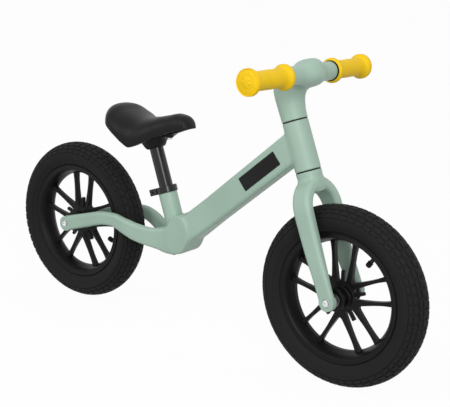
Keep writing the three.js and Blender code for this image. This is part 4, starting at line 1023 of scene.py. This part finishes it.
class BIKE_OT_tyres(bpy.types.Operator):
    """Moulds both tyres, block by block, with their inner tubes, valves and caps"""

    bl_idname = "bike.tyres"
    bl_label = "Tyres"

    # each row's angle from the crown, and its shift as a share of a pitch
    ROWS = (10, 0.5), (30, 0.5), (50, 0), (70, 0)
    ROW_HALF_ANGLE = 8.2
    SHOULDER, BEAD_ANGLE = (78, 84), 122  # where the floor between the blocks ends, and the wall
    RINGS, RING_HEIGHT, RING_WIDTH = (88, 97, 112), 0.4, 1.1  # raised on the sidewall, by angle
    BEAD = [(110.4, 20.2), (108.4, 18.4), (107.5, 17), (98.9, 17), (98.9, 14), (107, 14)]
    BLOCK = np.array([(1, 0.8), (0.84, 1), (-0.84, 1), (-1, 0.8), (-1, -0.8), (-0.84, -1),
                      (0.84, -1), (1, -0.8)])  # its outline, in halves of its length and its row
    CAP = [(0, 72.5), (3.2, 72.5), (4.2, 73), (4.6, 74.2), (4.6, 75, knurl), (4.6, 81, knurl),
           (4.6, 81.2), (4.2, 81.5), (2.9, 81.5), (2.9, 80), (0, 80)]
    VALVE = [(0, 74.5), (2.4, 74.5), (2.4, 81), (3.4, 82.5), (3.4, 87.5), (4.8, 89.6), (4.8, 108),
             (0, 108)]

    def carcass(self, depth):
        angles = np.concatenate((np.arange(0, 80, 5), np.arange(80, self.BEAD_ANGLE, 0.75)))
        lift = depth * (smoothstep(angles, *self.SHOULDER) - 1)
        for ring_angle in self.RINGS:
            ridge = np.exp(-(((angles - ring_angle) / self.RING_WIDTH) ** 2))
            lift = lift + self.RING_HEIGHT * ridge
        outer = [tyre_point(a, h) for a, h in zip(angles, lift)]
        inner = [tyre_point(a, -TYRE_WALL) for a in range(118, -1, -8)]
        half = outer + self.BEAD + inner + [tyre_point(0, -TYRE_WALL)]
        return turned(mirrored(half), 180, closed=True)

    def blocks(self, sizes):
        """One eased block for each place in each row, on both sides of the crown."""
        depth, half_length = sizes.tread_depth / MM, sizes.block_length / MM / 2
        along, aside = self.BLOCK.T
        # each level's height from the tread's face, and its share of the outline's size
        levels = ((-depth - 0.7, 1.1), (-0.45, 1.0), (-0.12, 0.94), (0.0, 0.84))
        places = itertools.product(self.ROWS, (1, -1), range(sizes.blocks))
        made = []
        for (row, shift), side, block in places:
            around = 2 * math.pi * (block + shift + (0.5 if side < 0 else 0)) / sizes.blocks
            rings = []
            for lift, spread in levels:
                r, y = tyre_point(row + aside * self.ROW_HALF_ANGLE * spread, lift)
                turn = around + along * half_length * spread / r
                rings.append(np.stack((r * np.sin(turn), side * y, r * np.cos(turn)), -1))
            made.append(lofted(rings))
        return made

    def execute(self, context):
        sizes = context.scene.bike_wheels
        tyre = [across(self.carcass(sizes.tread_depth / MM)), *self.blocks(sizes)]
        section = [tyre_point(a, -TYRE_WALL - 0.3) for a in range(0, 360, 15)]
        tube = across(turned(section, 96, closed=True))
        stem, cap = turned(rounded(self.VALVE, 0.5), 32), turned(self.CAP, 72)
        for end in ENDS:
            body, place = f"{end}_wheel", WHEELS[end]
            fitted(f"{end}_tyre_moulding", body, "tyre_rubber", f"{end}_tyre",
                   *(placed(shape, place) for shape in tyre), sharp=30)
            valve = Place(AXLES[end], turn=WHEEL_TURNS[end] + PAIR_TURN / 2)
            fitted(f"{end}_tube_and_valve", body, "tube_rubber", f"{end}_inner_tube",
                   placed(tube, place), placed(stem, valve))
            fitted(f"{end}_dust_cap", body, "black_nylon", f"{end}_valve_cap", placed(cap, valve),
                   sharp=40)
        return {"FINISHED"}


# ---------------- bar, grips and headset


BAR = STEERING.at(BIKE_OT_stem.REACH, 0, BIKE_OT_stem.FOOT + BIKE_OT_stem.RISE, (0, 0, 1))


class BIKE_OT_grips(bpy.types.Operator):
    """Moulds the two grips and makes the handlebar tube inside them, with a black ring at each grip's mouth as
    painted shade
    """

    bl_idname = "bike.grips"
    bl_label = "Grips and handlebar tube"

    TUBE_RADIUS, TUBE_WALL, TUBE_HALF_LENGTH = 11.1, 1.8, 158.3
    # the black ring between each stem arm and grip is painted shade: it stands in for the shadow in the gap there
    COLLAR_RADIUS, COLLAR_INNER, COLLAR_OUTER = 16.6, 62.2, 63.5
    BORE, INNER_END, OUTER_END, END_WALL = 11.4, 63.6, 163.6, 5.0
    OUTLINE = [(17.2, 63.6, 1.2), (20.2, 65.6, 2), (20.2, 70.2, 3), (17.2, 73.6, 3), (15.2, 77, 4),
               (14.6, 84, 8), (14.9, 106, 20), (14.6, 140, 8), (15.3, 147.5, 4), (18.4, 151.2, 3),
               (20.6, 154.2, 3), (20.6, 158.6, 3)]
    LIP = (20.4, 159.6), (19.8, 160.6)
    FACE_RADIUS, FACE_DEPTH, FACE_DOME = 19.0, 0.8, 3.2
    STAR_RADIUS, STAR_POINTS, STAR_REACH, STAR_HEIGHT = 6.0, 6, 1.8, 0.75
    GROOVE_RADIUS, GROOVE_WIDTH, GROOVE_DEPTH = 10.4, 0.8, 0.4
    DOT_RADIUS, DOT_WIDTH, DOT_HEIGHT, DOTS = 14.2, 1.2, 0.5, 22

    def face_height(self, radius, angle):
        """The domed end: a raised six-pointed boss, a groove round it and a ring of dots."""
        dome = self.OUTER_END - self.FACE_DEPTH
        dome -= self.FACE_DOME * (radius / self.FACE_RADIUS) ** 2.2
        star_edge = self.STAR_RADIUS + self.STAR_REACH * math.cos(self.STAR_POINTS * angle)
        boss = self.STAR_HEIGHT * smoothstep(star_edge - radius, -0.9, 0.9)
        swell = lambda middle, width: math.exp(-(((radius - middle) / width) ** 2))
        groove = -self.GROOVE_DEPTH * swell(self.GROOVE_RADIUS, self.GROOVE_WIDTH)
        dots = max(math.cos(self.DOTS * angle), 0) ** 1.5 * swell(self.DOT_RADIUS, self.DOT_WIDTH)
        return dome + boss + groove + self.DOT_HEIGHT * dots

    def moulding(self):
        floor = self.OUTER_END - self.END_WALL
        face = [(radius, lambda angle, radius=radius: self.face_height(radius, angle))
                for radius in (*np.arange(self.FACE_RADIUS, 1.5, -0.7), 1.2)]
        return turned([(0, floor), (self.BORE, floor), (self.BORE, self.INNER_END),
                       *rounded(self.OUTLINE, 1)[:-1], *self.LIP, *face,
                       (0, self.face_height(0, 0))], 176)

    def execute(self, context):
        grip = self.moulding()
        inner, end = self.TUBE_RADIUS - self.TUBE_WALL, self.TUBE_HALF_LENGTH
        tube = [ring(inner, self.TUBE_RADIUS, -end, end)]
        for name, side in SIDES:
            fitted(f"grip_moulding_{name}", "steering", "grip_rubber", f"grip_{name}",
                   placed(across(grip, side), BAR), sharp=50)
            # painted shade: a black ring on the tube in place of the shadow in the gap between the stem's arm and
            # the grip
            low, high = sorted((side * self.COLLAR_INNER, side * self.COLLAR_OUTER))
            tube.append(ring(self.TUBE_RADIUS, self.COLLAR_RADIUS, low, high, 0.3, 96))
        fitted("bar_tube", "steering", "black_enamel", "handlebar_tube",
               *(placed(across(shape), BAR) for shape in tube))
        return {"FINISHED"}


def socket_screw(head_radius, head_height, shank_radius, shank_length, socket, dome=0.4):
    """A screw along Z with a hexagon socket. Its head sits on a height of 0."""
    r, h, s = head_radius, head_height, shank_radius
    return turned([
        (0, -shank_length), (s - 0.3, -shank_length), (s, -shank_length + 0.4), (s, 0),
        (r - 0.2, 0), (r, 0.25), (r, h * (1 - dome)), (r * 0.94, h * (1 - dome / 3)), (r * 0.8, h),
        (socket + 0.35, h), (socket, h - 0.25, hexagon), (socket, h * 0.35, hexagon), (0, h * 0.3),
    ], 48)


class BIKE_OT_headset(bpy.types.Operator):
    """Makes the dust rings above and below the head tube and the stem's two set screws"""

    bl_idname = "bike.headset"
    bl_label = "Headset rings and set screws"

    # each ring's foot and top, sunk a little into the fork or the stem
    RINGS = ("lower", 204.9, 206.75), ("upper", 287.05, 288.9)
    RING_BORE, RING_INSET, RING_CORNER = 13.0, 0.7, 0.25
    SCREWS, SCREW_BACK = (("lower", 300.8), ("upper", 316.8)), 19.5
    SCREW = [(0, -6.5), (2.4, -6.5), (3, -5.9), (3, -0.4), (2.6, 0), (1.7, 0),
             (1.5, -0.2, hexagon), (1.5, -2.6, hexagon), (0, -3)]

    def execute(self, context):
        radius = NECK_RADIUS - self.RING_INSET
        for name, low, high in self.RINGS:
            shape = ring(self.RING_BORE, radius, low, high, self.RING_CORNER, 96)
            fitted(f"{name}_ring", "steering", "black_nylon", f"{name}_dust_ring",
                   placed(shape, STEERING))
        for name, height in self.SCREWS:
            place = STEERING.at(-self.SCREW_BACK, 0, height, (-1, 0, 0))
            fitted(f"set_screw_{name}", "steering", "bright_steel", f"stem_screw_{name}",
                   placed(turned(self.SCREW, 36), place))
        return {"FINISHED"}


# ---------------- seat post, clamp and saddle


class BIKE_OT_seat_post(bpy.types.Operator):
    """Makes the seat post and the clamp that holds it"""

    bl_idname = "bike.seat_post"
    bl_label = "Seat post and clamp"

    POST = 10.5, 12.5, 19.0, 175.0, 0.5  # bore, radius, foot, top and rim
    CLAMP_SPAN, CLAMP_MIDDLE, CLAMP_RADIUS, CLAMP_WALL = (69.0, 81.0, 1.0), 75.0, 18.9, 2.0
    EARS, EARS_X, EAR_FILLET = (11.2, 12.4, 2.2), -21.2, 4  # half sizes and corner first
    SLOT, SLOT_X, SLOT_RIM = (22, 0.8, 0.3), -30, 0.4
    BOLT_X, BOLT_HOLE, BOLT_SEAT, BOLT_SEAT_RADIUS = -25.0, 2.8, 8.1, 4.7
    NUT_SEAT, NUT_SEAT_RADIUS = 8.6, 4.5
    BOLT = 4.6, 4.4, 2.5, 19.5, 1.5, 0.08  # in the order that socket_screw takes
    NUT = [(0, 0), (3.9, 0, hexagon), (4.0, 0.3, hexagon), (4.0, 3.6, hexagon), (3.7, 4.0),
           (2.7, 4.0), (2.6, 3.6), (0, 3.6)]

    def clamp(self, p):
        x, y, height = SEAT.local(p).T
        from_post = np.hypot(x, y) - self.CLAMP_RADIUS
        ears = rounded_rectangle(x - self.EARS_X, y, *self.EARS)
        band = blended(from_post, ears, self.EAR_FILLET)
        band = carved(band, from_post + self.CLAMP_WALL, self.SLOT_RIM)
        band = carved(band, rounded_rectangle(x - self.SLOT_X, y, *self.SLOT), self.SLOT_RIM)
        band = between(band, height, *self.CLAMP_SPAN)
        from_bolt = np.hypot(x - self.BOLT_X, height - self.CLAMP_MIDDLE)
        band = carved(band, from_bolt - self.BOLT_HOLE, 0.3)
        head = between(from_bolt - self.BOLT_SEAT_RADIUS, y, -40, -self.BOLT_SEAT)
        nut = between(from_bolt - self.NUT_SEAT_RADIUS, y, self.NUT_SEAT, 40)
        return carved(band, np.minimum(head, nut), SMALL_RIM)

    def execute(self, context):
        fitted("seat_post_tube", "seat", "black_enamel", "seat_post",
               placed(ring(*self.POST, segments=96), SEAT))
        clamp = cast_round("clamp_band", self.clamp, "seat_clamp", step=0.4, margin=2)
        settle(clamp, "frame", "black_enamel", "seat_clamp")
        place = SEAT.at(self.BOLT_X, -self.BOLT_SEAT, self.CLAMP_MIDDLE, (0, -1, 0))
        fitted("clamp_bolt", "frame", "black_enamel", "seat_clamp_bolt",
               placed(socket_screw(*self.BOLT), place))
        place = SEAT.at(self.BOLT_X, self.NUT_SEAT, self.CLAMP_MIDDLE, (0, 1, 0))
        fitted("clamp_nut", "frame", "black_enamel", "seat_clamp_nut",
               placed(turned(self.NUT, 48), place))
        return {"FINISHED"}


SADDLE_FOOT = 150.5  # the saddle's lowest point, along the seat post's line
SADDLE_ORIGIN = np.array(SEAT.world((0, 0, SADDLE_FOOT)))
SADDLE_NOSE, SADDLE_LENGTH, SADDLE_HALF_WIDTH, SADDLE_HEIGHT = 81.5, 179.5, 58.0, 68.9
# by the share of the length behind the nose
SADDLE_WIDTH = Curve((0, 0.13), (0.05, 0.3), (0.12, 0.36), (0.3, 0.52), (0.45, 0.765),
                     (0.6, 0.905), (0.78, 1), (0.9, 0.84), (0.96, 0.57), (1, 0.14))
SADDLE_TOP = Curve((0, 0.73), (0.05, 0.912), (0.15, 1), (0.3, 0.912), (0.45, 0.807), (0.6, 0.766),
                   (0.78, 0.878), (0.9, 0.99), (0.96, 0.965), (1, 0.87))
SADDLE_SKIRT = Curve((0, 0.688), (0.1, 0.636), (0.3, 0.417), (0.45, 0.2), (0.53, 0.09),
                     (0.58, 0.05), (0.63, 0.115), (0.73, 0.31), (0.84, 0.48), (0.93, 0.6),
                     (1, 0.68))


def saddle_section(share, side_inset=0.0, top_inset=0.0):
    """Half the width, the crown's height over the skirt, and the skirt's height."""
    half_width = SADDLE_WIDTH(share) * SADDLE_HALF_WIDTH - side_inset
    skirt = SADDLE_SKIRT(share) * SADDLE_HEIGHT
    return half_width, SADDLE_TOP(share) * SADDLE_HEIGHT - top_inset - skirt, skirt


class BIKE_OT_saddle(bpy.types.Operator):
    """Makes the saddle: a foam cushion under a smooth cover, its moulded base and the screw"""

    bl_idname = "bike.saddle"
    bl_label = "Saddle"

    STATIONS, STEPS = 96, 56
    FOAM_SIDE, FOAM_TOP, LIP = 4.7, 12.7, 0.9  # the foam's thickness, and its lip's radius
    ROOM_START, ROOM_END = (0.03, 0.12), (0.9, 0.97)  # of the hollow under it, by share
    LEAST_WIDTH, LEAST_RISE = 0.55, 0.2  # of that hollow, as shares of the cushion's own
    SIDE_INSET, TOP_INSET, WALL = 5.3, 13.3, 3.0
    SHELL_MIDDLE, SHELL_HALF_LENGTH = -8.2, 75
    BOSS_RADIUS = Curve((-4, 15.4), (0, 16.2), (3.4, 18.8), (9, 21.6), (15.2, 24), (24, 28),
                        (40, 34))
    BOSS_TOP, BOSS_RIM = 70, 1.2
    KEEL_FEET, KEEL_SHARES = (0.3, 0.66), (0.2, 0.9)  # of the height and of the nose's reach
    KEEL, KEEL_SPAN = (7.0, 30, 2), (8.0, 72.0, 1.5)  # half sizes and corner; back, front and rim
    SCREW_X, SCREW_SEAT, PAD_RADIUS = 30.0, 23.9, 6.4
    SCREW, POST_BORE = (5, 3.2, 3, 10, 2.2), (12.8, 100, 175.3)
    KEEL_FILLET, PAD_FILLET, SHELL_FILLET = 4, 1.5, 3

    def cushion(self, crown):
        """Rings from nose to tail: over the top, round the lip and back under the foam."""
        angles = np.linspace(0, math.pi, self.STEPS)
        wide = np.sign(np.cos(angles)) * np.abs(np.cos(angles)) ** crown
        high = np.abs(np.sin(angles)) ** crown
        rings = []
        for share in 0.5 - 0.5 * np.cos(np.linspace(0, math.pi, self.STATIONS)):
            half_width, rise, skirt = saddle_section(share)
            room = smoothstep(share, *self.ROOM_START) * (1 - smoothstep(share, *self.ROOM_END))
            inner_width = max(half_width - self.FOAM_SIDE, self.LEAST_WIDTH * half_width)
            inner_rise = max(rise - self.FOAM_TOP, self.LEAST_RISE * rise) * room
            lip = min(self.LIP, rise / 4)
            over = np.stack((half_width * wide, skirt + lip + (rise - lip) * high), -1)
            under = np.stack((inner_width * wide, skirt + lip + (inner_rise - lip) * high), -1)
            under[:, 1] = np.maximum(under[:, 1], skirt)
            edge = np.array([(-half_width + 0.25 * lip, skirt + 0.25 * lip),
                             (-half_width + lip, skirt), (-inner_width - 0.3 * lip, skirt)])
            loop = np.concatenate((over, edge, under[::-1], edge[::-1] * (-1, 1)))
            x = SADDLE_NOSE - SADDLE_LENGTH * share
            rings.append(np.column_stack((np.full(len(loop), x), loop)) + SADDLE_ORIGIN)
        return lofted(rings)

    def under_cover(self, x, y, z, inset=0.0):
        """Roughly how far a point is outside the room under the foam."""
        share = (SADDLE_NOSE - x) / SADDLE_LENGTH
        insets = self.SIDE_INSET + inset, self.TOP_INSET + inset
        half_width, rise, skirt = saddle_section(share, *insets)
        half_width, rise = np.maximum(half_width, 1), np.maximum(rise, 1)
        exponent = 1 / bpy.context.scene.bike_seat.crown * 2
        wide, high = np.abs(y) / half_width, np.maximum(z - skirt, 0) / rise
        size = np.maximum(wide**exponent + high**exponent, 1e-9) ** (1 / exponent)
        slope = np.hypot(wide ** (exponent - 1) / half_width, high ** (exponent - 1) / rise)
        slope = slope * size ** (1 - exponent)
        return (size - 1) / np.maximum(slope, 0.01)

    def shell(self, x, y, z, skirt):
        """The thin base plate that lines the foam."""
        ends = np.abs(x - self.SHELL_MIDDLE) - self.SHELL_HALF_LENGTH
        shell = np.maximum(np.maximum(self.under_cover(x, y, z), (skirt - z) * 0.7), ends)
        hollow = np.maximum(self.under_cover(x, y, z, self.WALL), ends + self.WALL)
        return np.maximum(shell, -hollow)

    def base(self, p):
        x, y, z = (p - SADDLE_ORIGIN).T
        skirt = SADDLE_SKIRT((SADDLE_NOSE - x) / SADDLE_LENGTH) * SADDLE_HEIGHT
        q = SEAT.local(p)
        height = q[:, 2] - SADDLE_FOOT
        boss = np.hypot(q[:, 0], q[:, 1]) - self.BOSS_RADIUS(height)
        boss = between(boss, height, 0, self.BOSS_TOP, self.BOSS_RIM)
        first, last = self.KEEL_SHARES
        rise = (x / SADDLE_NOSE - first) / (last - first)
        keel_foot = SADDLE_HEIGHT * mixed(*self.KEEL_FEET, rise)
        keel = rounded_rectangle(y, z - keel_foot - self.KEEL[1], *self.KEEL)
        keel = between(keel * 0.93, x, *self.KEEL_SPAN)
        pad = np.hypot(x - self.SCREW_X, y) - self.PAD_RADIUS
        pad = between(pad, z, self.SCREW_SEAT + 0.2, 60, SMALL_RIM)
        supports = blended(blended(boss, keel, self.KEEL_FILLET), pad, self.PAD_FILLET)
        supports = np.maximum(supports, self.under_cover(x, y, np.maximum(z, skirt)))
        body = blended(self.shell(x, y, z, skirt), supports, self.SHELL_FILLET)
        return carved(body, rod(q, *self.POST_BORE), 0.5)

    def execute(self, context):
        sizes = context.scene.bike_seat
        cushion = fitted("saddle_cover_and_foam", "seat", "saddle_cover", "saddle_cushion",
                         self.cushion(sizes.crown), sharp=50)
        base = cast_round("saddle_base", self.base, "saddle_shell", step=1.4, margin=4)
        settle(base, "seat", "black_nylon", "saddle_shell")
        place = Place(SADDLE_ORIGIN + (self.SCREW_X, 0, self.SCREW_SEAT), (0, 0, -1))
        fitted("base_screw", "seat", "bright_steel", "saddle_screw",
               placed(socket_screw(*self.SCREW), place))
        return {"FINISHED"}


# ---------------- axle fittings and badges


class BIKE_OT_axles(bpy.types.Operator):
    """Makes the axle bolts, washers, spacers and wheel bearings"""

    bl_idname = "bike.axles"
    bl_label = "Axle bolts, washers, spacers and bearings"

    BOLT, BOLT_SEAT = (5.4, 3.3, 3.0, 22, 2.3), 47.6  # the seat is out from the middle
    WASHER, SPACER = (3.4, 6.6, 45.8, 47.3, 0.3), (5.3, 8.3, 26.3, 37.2, 0.5)
    RACE = [(5.3, 20), (11, 20), (11, 26), (9.7, 26), (9.5, 25.5), (6.9, 25.5), (6.7, 26),
            (5.3, 26)]

    def execute(self, context):
        bolt, washer, spacer = socket_screw(*self.BOLT), ring(*self.WASHER), ring(*self.SPACER)
        race = turned(rounded(self.RACE, 0.2, 2, closed=True), 64, closed=True)
        for end, body in (("front", "steering"), ("rear", "frame")):
            for name, side in SIDES:
                seat = Place(AXLES[end] + LEFT * self.BOLT_SEAT * side, (0, side, 0))
                fitted(f"{end}_bolt_{name}", body, "bright_steel", f"{end}_axle_bolt_{name}",
                       placed(bolt, seat), sharp=30)
                for kind, node, rides, slot, shape in (
                    ("washer", "axle_washer", body, "bright_steel", washer),
                    ("spacer", "axle_spacer", body, "plain_steel", spacer),
                    ("race", "bearing", f"{end}_wheel", "plain_steel", race),
                ):
                    fitted(f"{end}_{kind}_{name}", rides, slot, f"{end}_{node}_{name}",
                           placed(across(shape, side), Place(AXLES[end])))
        return {"FINISHED"}


class BIKE_OT_badges(bpy.types.Operator):
    """Puts a bare film badge on each side of the down tube"""

    bl_idname = "bike.badges"
    bl_label = "Badges"

    HALF_LENGTH, HALF_HEIGHT, CORNER, BACK, FACE = 43.3, 12.2, 1.0, 16.8, 18.1
    SHIFT = -1.2, 0.6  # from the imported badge's middle, along X and Z

    def plate(self, centre, along, side):
        above = np.array([-along[1], along[0]])
        middles = np.array([self.HALF_LENGTH, self.HALF_HEIGHT]) - self.CORNER
        corners = []
        for signs, start in (((1, 1), 0), ((-1, 1), 90), ((-1, -1), 180), ((1, -1), 270)):
            angles = np.radians(start + np.linspace(0, 90, 5))
            arc = np.stack((np.cos(angles), np.sin(angles)), -1)
            corners.append(middles * signs + arc * self.CORNER)
        corners = np.concatenate(corners)
        levels = (self.BACK, 0), (self.FACE - 0.25, 0), (self.FACE - 0.06, 0.12), (self.FACE, 0.4)
        rings = []
        for level, inset in levels:
            shrunk = corners - np.sign(corners) * inset
            x, z = (centre + shrunk[:, :1] * along + shrunk[:, 1:] * above).T
            rings.append(np.stack((x, np.full(len(x), side * level), z), -1))
        return lofted(rings)

    def execute(self, context):
        line = BIKE_OT_frame.TUBE_END - BIKE_OT_frame.TUBE_START
        line = line / np.linalg.norm(line)
        for name, side in SIDES:
            middle = middle_of(f"badge_{name}")
            centre = np.array([middle.x, middle.z]) + self.SHIFT
            fitted(f"film_badge_{name}", "frame", "badge_film", f"badge_{name}",
                   self.plate(centre, line, side), sharp=30)
        return {"FINISHED"}


class BIKE_OT_inner_parts(bpy.types.Operator):
    """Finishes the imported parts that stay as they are, inside the others"""

    bl_idname = "bike.inner_parts"
    bl_label = "Inner parts"

    PARTS = ("steerer_tube", "lower_head_bearing", "upper_head_bearing", "front_axle", "rear_axle",
             "front_bearing_sleeve", "rear_bearing_sleeve", "saddle_pin")

    def execute(self, context):
        for name in self.PARTS:
            for slot in frame["nodes"][name].material_slots:
                slot.material = look("plain_steel")
        return {"FINISHED"}


# ---------------- stage


def backward(azimuth, elevation):
    """From the bike to a viewer. An azimuth of 0 looks along +Y."""
    level = math.cos(elevation)
    return Vector((math.sin(azimuth) * level, -math.cos(azimuth) * level, math.sin(elevation)))


class BIKE_OT_stage(bpy.types.Operator):
    """Sets up the floor, the lamps, the world and the camera"""

    bl_idname = "bike.stage"
    bl_label = "Stage"

    CAMERA = Vector((1057.2, -1338.0, 709.7))  # in millimetres
    AZIMUTH, ELEVATION, ROLL = math.radians(37.04), math.radians(15.32), math.radians(3.15)
    LENS, SENSOR = 81.88, 36
    KEY = 47, 27, 2.6, (0.75, 2.2)  # azimuth, elevation, metres off, size
    FILL = -14, 34, 3.2, (1.8, 1.4)
    AIM = Vector((0, 0, 0.3))
    FLOOR_REACH = 40000
    FLOOR_GLOW = 0.96  # how much of the floor's white is its own

    def camera(self, scene):
        back = backward(self.AZIMUTH, self.ELEVATION)
        right = (-back).cross(UP).normalized()
        above = right.cross(-back)
        turned_right = right * math.cos(self.ROLL) + above * math.sin(self.ROLL)
        turned_above = above * math.cos(self.ROLL) - right * math.sin(self.ROLL)
        data = bpy.data.cameras.new("camera")
        data.lens = self.LENS
        data.sensor_width = self.SENSOR
        camera = bpy.data.objects.new("camera", data)
        axes = Matrix((turned_right, turned_above, back)).transposed().to_4x4()
        camera.matrix_world = Matrix.Translation(self.CAMERA * MM) @ axes
        scene.collection.objects.link(camera)
        scene.camera = camera

    def floor(self):
        """White paper to the camera and to reflections, with the bike's faint shadow on it."""
        finish = Finish("floor_paper")
        glow = finish.node("Emission", {}, (1, 1, 1, 1), 1.0)
        seen = finish.seen_rays()
        paper = finish.node("BsdfPrincipled", {}, inputs={
            "Base Color": finish.blend((0.45, 0.45, 0.45, 1), (0.95, 0.95, 0.95, 1), seen),
            "Roughness": 0.9, "Specular IOR Level": 0.0,
        })
        finish.done(finish.node("MixShader", {}, seen * self.FLOOR_GLOW, paper, glow))
        corners = [(x * self.FLOOR_REACH, y * self.FLOOR_REACH, 0)
                   for x, y in ((-1, -1), (1, -1), (1, 1), (-1, 1))]
        floor = mesh("floor", (corners, [(0, 1, 2, 3)]))
        floor.data.materials.append(finish.material)

    def lamp(self, scene, name, azimuth, elevation, distance, size, power):
        """A soft box that faces the bike."""
        back = backward(math.radians(azimuth), math.radians(elevation))
        data = bpy.data.lights.new(name, "AREA")
        data.shape, data.size, data.size_y, data.energy = "RECTANGLE", size[0], size[1], power
        lamp = bpy.data.objects.new(name, data)
        lamp.location = self.AIM + back * distance
        lamp.rotation_euler = back.to_track_quat("Z", "Y").to_euler()
        scene.collection.objects.link(lamp)

    def world(self, scene, strength):
        """Even light from all round, seen as white by the camera."""
        finish = Finish("studio", bpy.data.worlds, "OutputWorld")
        dim = finish.node("Background", {}, (1, 1, 1, 1), strength)
        white = finish.node("Background", {}, (1, 1, 1, 1), 1.0)
        scene.world = finish.done(finish.node("MixShader", {}, finish.seen_rays(), dim, white))

    def execute(self, context):
        scene, sizes = context.scene, context.scene.bike_stage
        self.camera(scene)
        self.floor()
        self.lamp(scene, "key", *self.KEY, sizes.key)
        self.lamp(scene, "fill", *self.FILL, sizes.fill)
        self.world(scene, sizes.world)
        scene.view_settings.view_transform = "Standard"
        return {"FINISHED"}


# ---------------- panel and registration

GROUPS = {
    "bike_colours": BikeColours,
    "bike_castings": BikeCastings,
    "bike_wheels": BikeWheels,
    "bike_seat": BikeSeat,
    "bike_stage": BikeStage,
}
OPERATORS = (
    BIKE_OT_stage, BIKE_OT_frame, BIKE_OT_fork, BIKE_OT_stem, BIKE_OT_rims, BIKE_OT_tyres,
    BIKE_OT_grips, BIKE_OT_headset, BIKE_OT_seat_post, BIKE_OT_saddle, BIKE_OT_axles,
    BIKE_OT_badges, BIKE_OT_inner_parts,
)


class BIKE_PT_panel(bpy.types.Panel):
    """Lists the bike's sizes, colours and the steps that build it"""

    bl_idname = "BIKE_PT_panel"
    bl_label = "Balance bike"
    bl_space_type = "VIEW_3D"
    bl_region_type = "UI"
    bl_category = "Bike"

    def draw(self, context):
        for group, kind in GROUPS.items():
            box = self.layout.box()
            for name in kind.__annotations__:
                box.prop(getattr(context.scene, group), name)
        for operator in OPERATORS:
            self.layout.operator(operator.bl_idname)


def register():
    for kind in (*GROUPS.values(), *OPERATORS, BIKE_PT_panel):
        bpy.utils.register_class(kind)
    for name, kind in GROUPS.items():
        setattr(bpy.types.Scene, name, bpy.props.PointerProperty(type=kind))


def unregister():
    for name in GROUPS:
        delattr(bpy.types.Scene, name)
    for kind in (BIKE_PT_panel, *reversed(OPERATORS), *reversed(GROUPS.values())):
        bpy.utils.unregister_class(kind)


def main():
    register()
    for operator in OPERATORS:
        group, name = operator.bl_idname.split(".")
        getattr(getattr(bpy.ops, group), name)()


if __name__ == "__main__":
    main()
